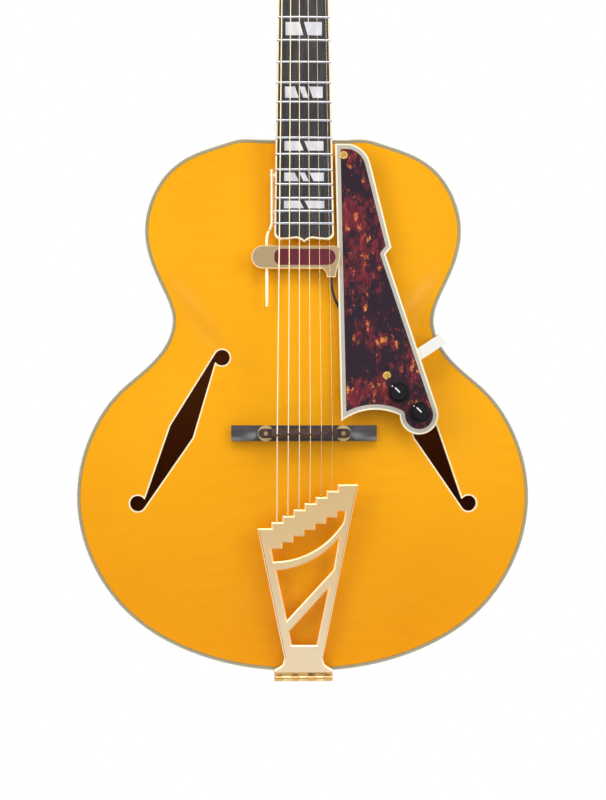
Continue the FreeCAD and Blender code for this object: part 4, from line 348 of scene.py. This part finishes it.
# Fretboard: an ebony board bound in cream, its rounded end carried over the top on the neck's tongue.
# Split pearl blocks are let in flush; twenty nickel silver frets are pressed in and run over the binding.
ebony = Finish("ebony", Roughness=0.42, Specular_IOR_Level=0.4)
streak = ebony.noise((420.0, 420.0, 9.0), 4.0).fade(0.3, 0.75)
ebony.set(Base_Color=ebony.mix(streak, tint(38, 36, 39), tint(62, 59, 60)))
ebony.set(Roughness=streak * 0.14 + 0.36)
ebony.bump(ebony.noise((1400.0, 1400.0, 60.0), 2.0), 0.00005)
dressed("fretboard", ebony)
dressed("fretboard_binding", cream_celluloid)
fret_wire = Finish("fret_wire", Metallic=1.0, Roughness=0.22)
brushing = fret_wire.noise((30.0, 900.0, 900.0), 2.0)
fret_wire.set(Base_Color=fret_wire.mix(brushing, tint(204, 206, 212), tint(180, 182, 188)))
dressed("frets", fret_wire)
pearl = Finish("pearl", Roughness=0.16, Specular_IOR_Level=0.6)
lustre = pearl.noise((160.0, 160.0, 60.0), 3.0).fade(0.3, 0.7)
sheen = pearl.noise((260.0, 260.0, 210.0), 2.0).fade(0.35, 0.65)
pearl.set(Base_Color=pearl.mix(sheen * 0.4, pearl.mix(lustre, tint(236, 236, 242), tint(206, 208, 218)),
                               tint(222, 214, 226)))
dressed("fret_inlays", pearl)


# Nut and truss rod: a slotted bone nut glued at the board's end; the steel rod lies in the neck under the
# board, with its brass nut in a pocket under a small black cover held by three screws.
bone = Finish("bone", Roughness=0.34)
marrow = bone.noise((300.0, 300.0, 300.0), 3.0).fade(0.3, 0.7)
bone.set(Base_Color=bone.mix(marrow, tint(240, 230, 206), tint(222, 206, 172)))
dressed("nut", bone, edge=0.00025)
rod_steel = Finish("rod_steel", Metallic=1.0, Roughness=0.38)
rod_steel.set(Base_Color=rod_steel.mix(rod_steel.noise((80.0, 80.0, 20.0), 2.0), tint(170, 170, 172),
                                       tint(130, 130, 134)))
dressed("truss_rod", rod_steel)
gold = Finish("gold", Metallic=1.0)
wear = gold.noise((140.0, 140.0, 140.0), 3.0).fade(0.35, 0.75)
gold.set(Base_Color=gold.mix(wear, tint(246, 214, 150), tint(232, 192, 118)))
gold.set(Roughness=gold.noise((400.0, 400.0, 400.0), 2.0) * 0.12 + 0.14)
dressed("truss_rod_nut", gold)
moulded_black = Finish("moulded_black", Roughness=0.22, Specular_IOR_Level=0.5)
dust = moulded_black.noise((220.0, 220.0, 220.0), 3.0).fade(0.4, 0.8)
moulded_black.set(Base_Color=moulded_black.mix(dust, tint(18, 18, 20), tint(34, 34, 37)))
moulded_black.bump(moulded_black.noise((900.0, 900.0, 900.0), 1.0), 0.00002)
dressed("truss_rod_cover", moulded_black, edge=0.0003)
dressed("headstock_screws", gold)


# Tuners: six worm and gear machines in gold cases screwed to the headstock's back, with bushings in front.
# Each oval button turns a worm, which turns the post that the string is wound on.
dressed("tuner_cases", gold)
string_names = ("low_e", "a", "d", "g", "b", "high_e")
joint_of = {joint["name"]: joint for joint in frame["record"]["behaviour"]["joints"]}
for name in string_names:
    dressed("string_post_" + name, gold)
    dressed("tuner_button_" + name, gold)


# Strings: six taut strings from the posts over the nut and the saddle to the tailpiece's stairs.
# The lower four are steel wound with bronze wire, the upper two are plain steel.
# Both string colours are tinted warm. For the bronze wound strings this is partly their own colour and
# partly a painted reflection of the amber top; for the plain steel strings it is a painted reflection of
# the amber top.
wound = Finish("wound_string", Metallic=1.0, Roughness=0.30)
# The wound colour is striped lighter and darker with each turn of wire, painted shading of the rounded
# turns; the same waves give the winding's bump.
winding_wave_and_shade = (wound.z * 15000.0).wave() * 0.5 + 0.5
wound.set(Base_Color=wound.mix(winding_wave_and_shade * 0.5, tint(240, 222, 184), tint(206, 182, 140)))
wound.bump(winding_wave_and_shade, 0.00006)
plain = Finish("plain_string", Metallic=1.0, Roughness=0.26)
drawn = plain.noise((60.0, 60.0, 12.0), 2.0)
plain.set(Base_Color=plain.mix(drawn, tint(234, 212, 172), tint(204, 178, 138)))
dressed("string_heads", wound)
plain_from = 0.0085
for node in ("strings", "string_tails"):
    piece = dressed(node, wound, plain)
    for face in piece.data.polygons:
        face.material_index = int(face.center.x > plain_from)
gauges = (0.00132, 0.00107, 0.00081, 0.00061, 0.00041, 0.00030)
thinnest_wound = 0.0005
post_radius, string_height, lift = 0.0024, 0.009, 0.00005
turns, steps, pitch, wire_sides = 3, 22, 1.06, 10
for name, gauge in zip(string_names, gauges):
    post = joint_of["post_" + name + "_turn"]
    along = Vector(post["axis"]).normalized()
    if along.y > 0:
        along.negate()
    middle = Vector(post["pos_m"]) + along * string_height
    radial = along.orthogonal().normalized()
    form = bmesh.new()
    ring = bmesh.ops.create_circle(form, segments=wire_sides, radius=gauge / 2)["verts"]
    turned = Matrix((radial, along, radial.cross(along))).transposed().to_4x4()
    start = Matrix.Translation(middle + radial * (post_radius + gauge / 2 + lift)) @ turned
    bmesh.ops.transform(form, verts=ring, matrix=start)
    bmesh.ops.spin(form, geom=form.edges[:], cent=middle, axis=along, dvec=along * (-gauge * pitch / steps),
                   angle=math.tau * turns, steps=steps * turns, use_merge=False)
    bmesh.ops.holes_fill(form, edges=[edge for edge in form.edges if edge.is_boundary], sides=wire_sides)
    bmesh.ops.recalc_face_normals(form, faces=form.faces)
    mesh = bpy.data.meshes.new("winding_" + name)
    form.to_mesh(mesh)
    form.free()
    mesh.shade_smooth()
    mesh.materials.append(wound.material if gauge > thinnest_wound else plain.material)
    place_piece(bpy.data.objects.new("winding_" + name, mesh), "post_" + name)


# Bridge: an ebony base fitted to the top's arch and held only by the strings, two posts with gold
# thumbwheels, and a compensated ebony saddle that rides on the wheels.
bridge_ebony = Finish("bridge_ebony", Roughness=0.36, Specular_IOR_Level=0.7)
base_grain = bridge_ebony.noise((14.0, 420.0, 420.0), 4.0).fade(0.3, 0.75)
bridge_ebony.set(Base_Color=bridge_ebony.mix(base_grain, tint(50, 47, 53), tint(70, 64, 68)))
saddle_ebony = Finish("saddle_ebony", Roughness=0.4, Specular_IOR_Level=0.15)
saddle_grain = saddle_ebony.noise((14.0, 420.0, 420.0), 4.0).fade(0.3, 0.75)
saddle_ebony.set(Base_Color=saddle_ebony.mix(saddle_grain, tint(68, 54, 54), tint(90, 72, 72)))
dressed("bridge_base", bridge_ebony)
dressed("bridge_saddle", saddle_ebony)
dressed("bridge_posts", gold)
wheel_gold = Finish("wheel_gold", Metallic=0.5)
rubbed = wheel_gold.noise((260.0, 260.0, 260.0), 3.0)
wheel_gold.set(Base_Color=wheel_gold.mix(rubbed, tint(246, 224, 164), tint(222, 190, 116)))
wheel_gold.set(Roughness=rubbed * 0.15 + 0.22)
for node in ("thumbwheel_bass", "thumbwheel_treble"):
    dressed(node, wheel_gold, edge=0.0002)


# Tailpiece: a cast brass plate with stepped string seats and three windows, gold plated and satin brushed,
# with a painted shade line on a narrow chamfer beside its bevelled sides. It is hinged on a bracket that is
# screwed through the rim into the tail block.
satin_gold = Finish("satin_gold", Metallic=1.0)
brush = satin_gold.noise((700.0, 700.0, 16.0), 3.0)
blotch = satin_gold.noise((22.0, 22.0, 12.0), 2.0)
# The foot towards the hinge is painted paler: a painted sheen on the plating.
foot_sheen = satin_gold.z.fade(-0.70, -0.86)
satin = satin_gold.mix(brush * 0.5 + blotch * 0.4, tint(255, 226, 172), tint(248, 208, 150))
satin = satin_gold.mix(foot_sheen * 0.6, satin, tint(255, 240, 212))
# The hinge barrel below the foot is painted a deeper, darker gold: painted shade on the rounded knuckles.
barrel_shade = satin_gold.z.fade(-0.8648, -0.8662)
satin_gold.set(Base_Color=satin_gold.mix(barrel_shade, satin, tint(226, 178, 112)))
satin_gold.set(Roughness=brush * 0.16 + 0.30)
satin_gold.bump(brush, 0.00003)
# A darker brown finish for a narrow chamfer along the sides: painted shade standing for the shadow line at
# the bevel, mottled.
painted_shade_line = Finish("painted_shade_line", Metallic=0.5, Roughness=0.5)
shade_line_mottle = painted_shade_line.noise((200.0, 200.0, 60.0), 2.0)
painted_shade_line.set(Base_Color=painted_shade_line.mix(shade_line_mottle, tint(150, 104, 58), tint(122, 80, 42)))
tail = dressed("tailpiece", satin_gold, painted_shade_line, flats=True, edge=0.0002)
line_width, stair_round = 0.00028, 0.0006
side_length, stairs_from, level_within = 0.08, -0.8, 0.0002
form = bmesh.new()
form.from_mesh(tail.data)
form.normal_update()
face_of_tail = max(form.faces, key=lambda face: face.calc_area() * (face.normal.y < -0.5)).normal.copy()
side_edges, stair_edges = [], []
foremost = max(vert.co.dot(face_of_tail) for vert in form.verts if vert.co.z > stairs_from)
for edge in form.edges:
    if len(edge.link_faces) != 2:
        continue
    away, toward = sorted(face.normal.dot(face_of_tail) for face in edge.link_faces)
    if toward > 0.99 and 0.5 < away < 0.9 and edge.calc_length() > side_length:
        side_edges.append(edge)
    if toward > 0.99 and away < 0.1 and edge.verts[0].co.dot(face_of_tail) > foremost - level_within:
        stair_edges.append(edge)
chamfer = {"offset_type": "OFFSET", "affect": "EDGES", "segments": 1, "profile": 0.5, "material": -1}
# The chamfer faces take the painted shade line's finish.
for face in bmesh.ops.bevel(form, geom=side_edges, offset=line_width, **chamfer)["faces"]:
    face.material_index = 1
bmesh.ops.bevel(form, geom=stair_edges, offset=stair_round, **chamfer)
form.to_mesh(tail.data)
form.free()
dressed("tailpiece_hinge_pin", gold)
dressed("tailpiece_bracket", gold, edge=0.0005)


# Pickguard: a floating tortoiseshell plate bound in cream and black and white plies, standing off the top
# on a post by the fretboard and on a gold arm that bends over the rim and is screwed to it.
tortoiseshell = Finish("tortoiseshell", Roughness=0.12, Specular_IOR_Level=0.3)


def shell_flakes(scale, channel):
    """Ragged flakes, each of one value: cells of a Voronoi pattern bent by noise."""
    add = tortoiseshell.add
    spread = add("ShaderNodeVectorMath", {"operation": "MULTIPLY"}, (tortoiseshell.place, scale))
    sockets = {"Vector": spread, "Scale": 1.3, "Detail": 5.0, "Roughness": 0.7}
    warp = add("ShaderNodeTexNoise", None, sockets, "Color")
    bent = add("ShaderNodeVectorMath", {"operation": "MULTIPLY_ADD"}, (warp, (1.6, 1.6, 1.6), spread))
    cells = add("ShaderNodeTexVoronoi", None, {"Vector": bent, "Scale": 1.0}, "Color")
    return add("ShaderNodeSeparateXYZ", None, {"Vector": cells}, channel)


zone = tortoiseshell.noise((30.0, 30.0, 20.0), 3.0, 0.55, 0.8)
fine = tortoiseshell.noise((330.0, 330.0, 180.0), 5.0, 0.72, 1.2)
large = shell_flakes((120.0, 120.0, 66.0), "X")
small = shell_flakes((330.0, 330.0, 170.0), "X")
shade = (zone * 1.1 + large * 0.2 + small * 0.16 + fine * 0.5).fade(0.91, 1.15)
spark = shell_flakes((300.0, 300.0, 170.0), "Y") * 0.8 + fine * 0.5
red = tortoiseshell.mix(small * 0.5 + fine * 0.5, tint(74, 28, 42), tint(136, 48, 56))
shell = tortoiseshell.mix(shade, tint(46, 32, 44), red)
shell = tortoiseshell.mix(shade * spark.fade(0.84, 1.02) * 0.75, shell, tint(176, 70, 50))
shell = tortoiseshell.mix(shade * spark.fade(0.97, 1.08), shell, tint(238, 150, 74))
tortoiseshell.set(Base_Color=shell)
pale, grey = tint(206, 202, 190), tint(150, 146, 136)
guard_plies = ply_finish("guard_plies", [
    (0.0, tint(255, 246, 218)), (0.30, grey), (0.37, pale), (0.49, grey), (0.56, pale),
    (0.68, grey), (0.75, pale), (0.90, tint(60, 50, 50))], **celluloid)
dressed("pickguard", tortoiseshell)
mark_across(dressed("pickguard_binding", guard_plies))
# The arm is painted near white with little metal in it: a painted highlight for the glare on its polished
# gold, with a faint mottle.
glare_painted_arm_gold = Finish("glare_painted_arm_gold", Metallic=0.25)
film_and_glare = glare_painted_arm_gold.noise((36.0, 36.0, 36.0), 2.0).fade(0.4, 0.8)
glare_painted_arm_gold.set(Base_Color=glare_painted_arm_gold.mix(film_and_glare, tint(255, 253, 246), tint(252, 246, 230)))
glare_painted_arm_gold.set(Roughness=film_and_glare * 0.1 + 0.22)
dressed("pickguard_bracket", glare_painted_arm_gold, edge=0.0003)
screw_gold = Finish("screw_gold", Metallic=0.8)
turning = screw_gold.noise((700.0, 700.0, 700.0), 2.0)
screw_gold.set(Base_Color=screw_gold.mix(turning, tint(255, 218, 130), tint(244, 190, 84)))
screw_gold.set(Roughness=turning * 0.12 + 0.16)
dressed("body_screws", screw_gold)


# Controls: two small potentiometers under the guard, each turned by a black faceted knob pushed on its
# shaft, with a white line let into the knob's top and a white dot on its skirt.
dressed("control_pots", rod_steel)
knob_black = Finish("knob_black", Roughness=0.20, Specular_IOR_Level=0.4)
knob_haze = knob_black.noise((300.0, 300.0, 300.0), 3.0).fade(0.4, 0.8)
knob_black.set(Base_Color=knob_black.mix(knob_haze, tint(12, 12, 15), tint(24, 24, 28)))
white_paint = Finish("white_paint", Roughness=0.45)
chalk = white_paint.noise((900.0, 900.0, 900.0), 2.0)
white_paint.set(Base_Color=white_paint.mix(chalk, tint(250, 250, 252), tint(234, 234, 238)))
grip_top, skirt_top, paint = 0.0136, 0.0046, 0.0003
pointer_length, pointer_width, pointer_middle = 0.0064, 0.0012, 0.0026
dot_radius, dot_reach = 0.0008, 0.0086
for control in ("volume", "tone"):
    dressed(control + "_knob", knob_black, angle=20.0, edge=0.0003)
    joint = joint_of[control + "_turn"]
    outward = Vector(joint["axis"]).normalized()
    pointing = (Vector((-1.0, 0.0, 0.0)) + outward.cross(Vector((1.0, 0.0, 0.0)))).normalized()
    turned = Matrix((pointing, outward.cross(pointing), outward)).transposed().to_4x4()
    form = bmesh.new()
    bar = bmesh.ops.create_cube(form, size=1.0)["verts"]
    bmesh.ops.scale(form, verts=bar, vec=(pointer_length, pointer_width, paint))
    bmesh.ops.translate(form, verts=bar, vec=(pointer_middle, 0.0, grip_top + paint / 3))
    dot = bmesh.ops.create_cone(form, cap_ends=True, segments=20, radius1=dot_radius, radius2=dot_radius,
                                depth=paint)["verts"]
    bmesh.ops.translate(form, verts=dot, vec=(dot_reach, 0.0, skirt_top + paint / 3))
    bmesh.ops.transform(form, verts=form.verts, matrix=Matrix.Translation(joint["pos_m"]) @ turned)
    bmesh.ops.recalc_face_normals(form, faces=form.faces)
    mesh = bpy.data.meshes.new(control + "_pointer")
    form.to_mesh(mesh)
    form.free()
    mesh.materials.append(white_paint.material)
    place_piece(bpy.data.objects.new(control + "_pointer", mesh), control)


# Floating pickup: a gold cover with a maroon insert over its coil, sliding on a gold rod that is
# screwed to the side of the fretboard's tongue.
cover_gold = Finish("cover_gold", Metallic=1.0)
grain = cover_gold.noise((30.0, 30.0, 500.0), 2.0)
cover_gold.set(Base_Color=cover_gold.mix(grain, tint(255, 226, 178), tint(250, 216, 164)))
cover_gold.set(Roughness=grain * 0.06 + 0.17)
dressed("pickup_cover", cover_gold, edge=0.0008)
maroon = Finish("maroon", Roughness=0.35, Specular_IOR_Level=0.35)
maroon_grain = maroon.noise((500.0, 500.0, 500.0), 2.0)
maroon.set(Base_Color=maroon.mix(maroon_grain, tint(112, 40, 52), tint(94, 30, 42)))
dressed("pickup_insert", maroon)
dressed("pickup_core", moulded_black)
# The rod's gold is painted pale cream and only partly metal: a painted highlight for the light it reflects,
# mottled.
sheen_painted_gold = Finish("sheen_painted_gold", Metallic=0.6)
tarnish_and_sheen = sheen_painted_gold.noise((36.0, 36.0, 36.0), 2.0).fade(0.4, 0.8)
sheen_painted_gold.set(Base_Color=sheen_painted_gold.mix(tarnish_and_sheen, tint(255, 242, 208), tint(250, 226, 172)))
sheen_painted_gold.set(Roughness=sheen_painted_gold.noise((60.0, 60.0, 60.0), 2.0) * 0.1 + 0.22)
dressed("pickup_rod", sheen_painted_gold)


# Pickup lead: a thin black rubber lead from the pickup's nose, dipping under the guard to the volume
# control. It is drawn as one fixed tube along its route.
lead_rubber = Finish("lead_rubber", Roughness=0.5)
scuff = lead_rubber.noise((400.0, 400.0, 400.0), 2.0)
lead_rubber.set(Base_Color=lead_rubber.mix(scuff, tint(20, 20, 21), tint(40, 40, 42)))
lead_diameter = 0.0026
lead_route = [
    (0.02618, -0.02773, -0.48333), (0.02618, -0.02826, -0.49091), (0.0279, -0.0264, -0.5015),
    (0.0330, -0.0244, -0.5140), (0.0450, -0.0240, -0.5300), (0.0600, -0.0244, -0.5450),
    (0.0750, -0.0254, -0.5590), (0.0865, -0.0266, -0.5730), (0.09005, -0.02707, -0.58781),
]
lead_curve = bpy.data.curves.new("lead_line", "CURVE")
lead_curve.dimensions = "3D"
lead_curve.resolution_u = 10
spline = lead_curve.splines.new("NURBS")
spline.points.add(len(lead_route) - 1)
for point, place in zip(spline.points, lead_route):
    point.co = (*place, 1.0)
spline.order_u = 3
spline.use_endpoint_u = True
lead_line = bpy.data.objects.new("lead_line", lead_curve)
bpy.context.scene.collection.objects.link(lead_line)
followed = bpy.data.meshes.new_from_object(lead_line)
bpy.data.meshes.remove(followed)
lead_curve.bevel_depth = lead_diameter / 2
lead_curve.bevel_resolution = 5
lead_curve.use_fill_caps = True
lead_mesh = bpy.data.meshes.new_from_object(lead_line)
bpy.data.objects.remove(lead_line)
bpy.data.curves.remove(lead_curve)
lead_mesh.name = "lead"
lead_mesh.shade_smooth()
lead_mesh.materials.clear()
lead_mesh.materials.append(lead_rubber.material)
lead = bpy.data.objects.new("lead", lead_mesh)
bpy.context.scene.collection.objects.link(lead)
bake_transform(lead)
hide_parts("pickup_lead")


# Output jack: a turned barrel with a flange, gold plated, let into a bore through the rim and the
# tail block on the body's centre line.
dressed("output_jack", gold)


# Studio: a round pale floor well below the hanging guitar, large soft lamps above and beside it, and a
# camera level with the bridge.
floor_radius, floor_level = 1.1, -1.18
floor_form = bmesh.new()
bmesh.ops.create_circle(floor_form, cap_ends=True, segments=96, radius=floor_radius)
bmesh.ops.translate(floor_form, verts=floor_form.verts, vec=(0.0, 0.0, floor_level))
floor_mesh = bpy.data.meshes.new("floor")
floor_form.to_mesh(floor_mesh)
floor_form.free()
floor = bpy.data.objects.new("floor", floor_mesh)
bpy.context.scene.collection.objects.link(floor)
plaster = Finish("plaster", Roughness=0.9)
speck = plaster.noise((8.0, 8.0, 8.0), 3.0)
plaster.set(Base_Color=plaster.mix(speck, tint(250, 250, 250), tint(246, 246, 246)))
rim_fade = (plaster.x * plaster.x + plaster.y * plaster.y).fade(0.35, 1.1)
solid = Signal(plaster, plaster.shader.outputs[0])
clear = plaster.add("ShaderNodeBsdfTransparent")
soft_edge = plaster.add("ShaderNodeMixShader", None, {0: rim_fade, 1: solid, 2: clear})
plaster.tree.links.new(soft_edge.socket, plaster.tree.nodes["Material Output"].inputs["Surface"])
floor_mesh.materials.append(plaster.material)

lamps = {
    "left": ((-1.60, -1.35, 0.10), (0.0, 0.0, -0.60), (1.0, 1.9), 22.5),
    "right": ((1.60, -1.35, 0.10), (0.0, 0.0, -0.60), (1.0, 1.9), 21.5),
    "above": ((0.0, -1.30, 1.00), (0.0, 0.0, -0.60), (0.9, 0.9), 12.0),
    "rear": ((0.2, 2.2, 0.9), (0.0, 0.0, -0.55), (1.8, 1.8), 42.0),
}
for name, (spot, aim, size, power) in lamps.items():
    lamp = bpy.data.lights.new(name, "AREA")
    lamp.shape = "RECTANGLE"
    lamp.size, lamp.size_y = size
    lamp.energy = power
    holder = bpy.data.objects.new(name, lamp)
    holder.location = spot
    holder.rotation_euler = (Vector(aim) - Vector(spot)).to_track_quat("-Z", "Y").to_euler()
    holder.visible_camera = False
    bpy.context.scene.collection.objects.link(holder)

world = bpy.data.worlds.new("studio")
bpy.context.scene.world = world
world.use_nodes = True
sky = world.node_tree
ray = sky.nodes.new("ShaderNodeLightPath")
way = sky.nodes.new("ShaderNodeTexCoord")
split = sky.nodes.new("ShaderNodeSeparateXYZ")
sky.links.new(way.outputs["Generated"], split.inputs[0])
facing = sky.nodes.new("ShaderNodeMath")
facing.operation = "ABSOLUTE"
sky.links.new(split.outputs["Y"], facing.inputs[0])


def step_level(value, low, high, first, second):
    node = sky.nodes.new("ShaderNodeMapRange")
    node.interpolation_type = "SMOOTHSTEP"
    for name, number in (("From Min", low), ("From Max", high)):
        node.inputs[name].default_value = number
    for name, number in (("To Min", first), ("To Max", second)):
        if isinstance(number, float):
            node.inputs[name].default_value = number
        else:
            sky.links.new(number, node.inputs[name])
    sky.links.new(value, node.inputs["Value"])
    return node.outputs[0]


reflected = step_level(facing.outputs[0], 0.72, 0.98, 1.0, 0.45)
level = step_level(ray.outputs["Is Glossy Ray"], 0.0, 1.0, 0.32, reflected)
level = step_level(ray.outputs["Is Transmission Ray"], 0.0, 1.0, level, 1.0)
level = step_level(ray.outputs["Is Camera Ray"], 0.0, 1.0, level, 1.0)
sky.nodes["Background"].inputs["Color"].default_value = (1.0, 1.0, 1.0, 1.0)
sky.links.new(level, sky.nodes["Background"].inputs["Strength"])

lens = bpy.data.cameras.new("camera")
lens.sensor_fit = "VERTICAL"
lens.sensor_height = 24.0
lens.lens = 75.72
lens.clip_end = 50.0
camera = bpy.data.objects.new("camera", lens)
camera.location = (-0.085, -2.4441, -0.603)
camera.rotation_euler = (math.radians(90.0), 0.0, math.radians(-1.99))
bpy.context.scene.collection.objects.link(camera)
bpy.context.scene.camera = camera
bpy.context.scene.view_settings.view_transform = "Standard"
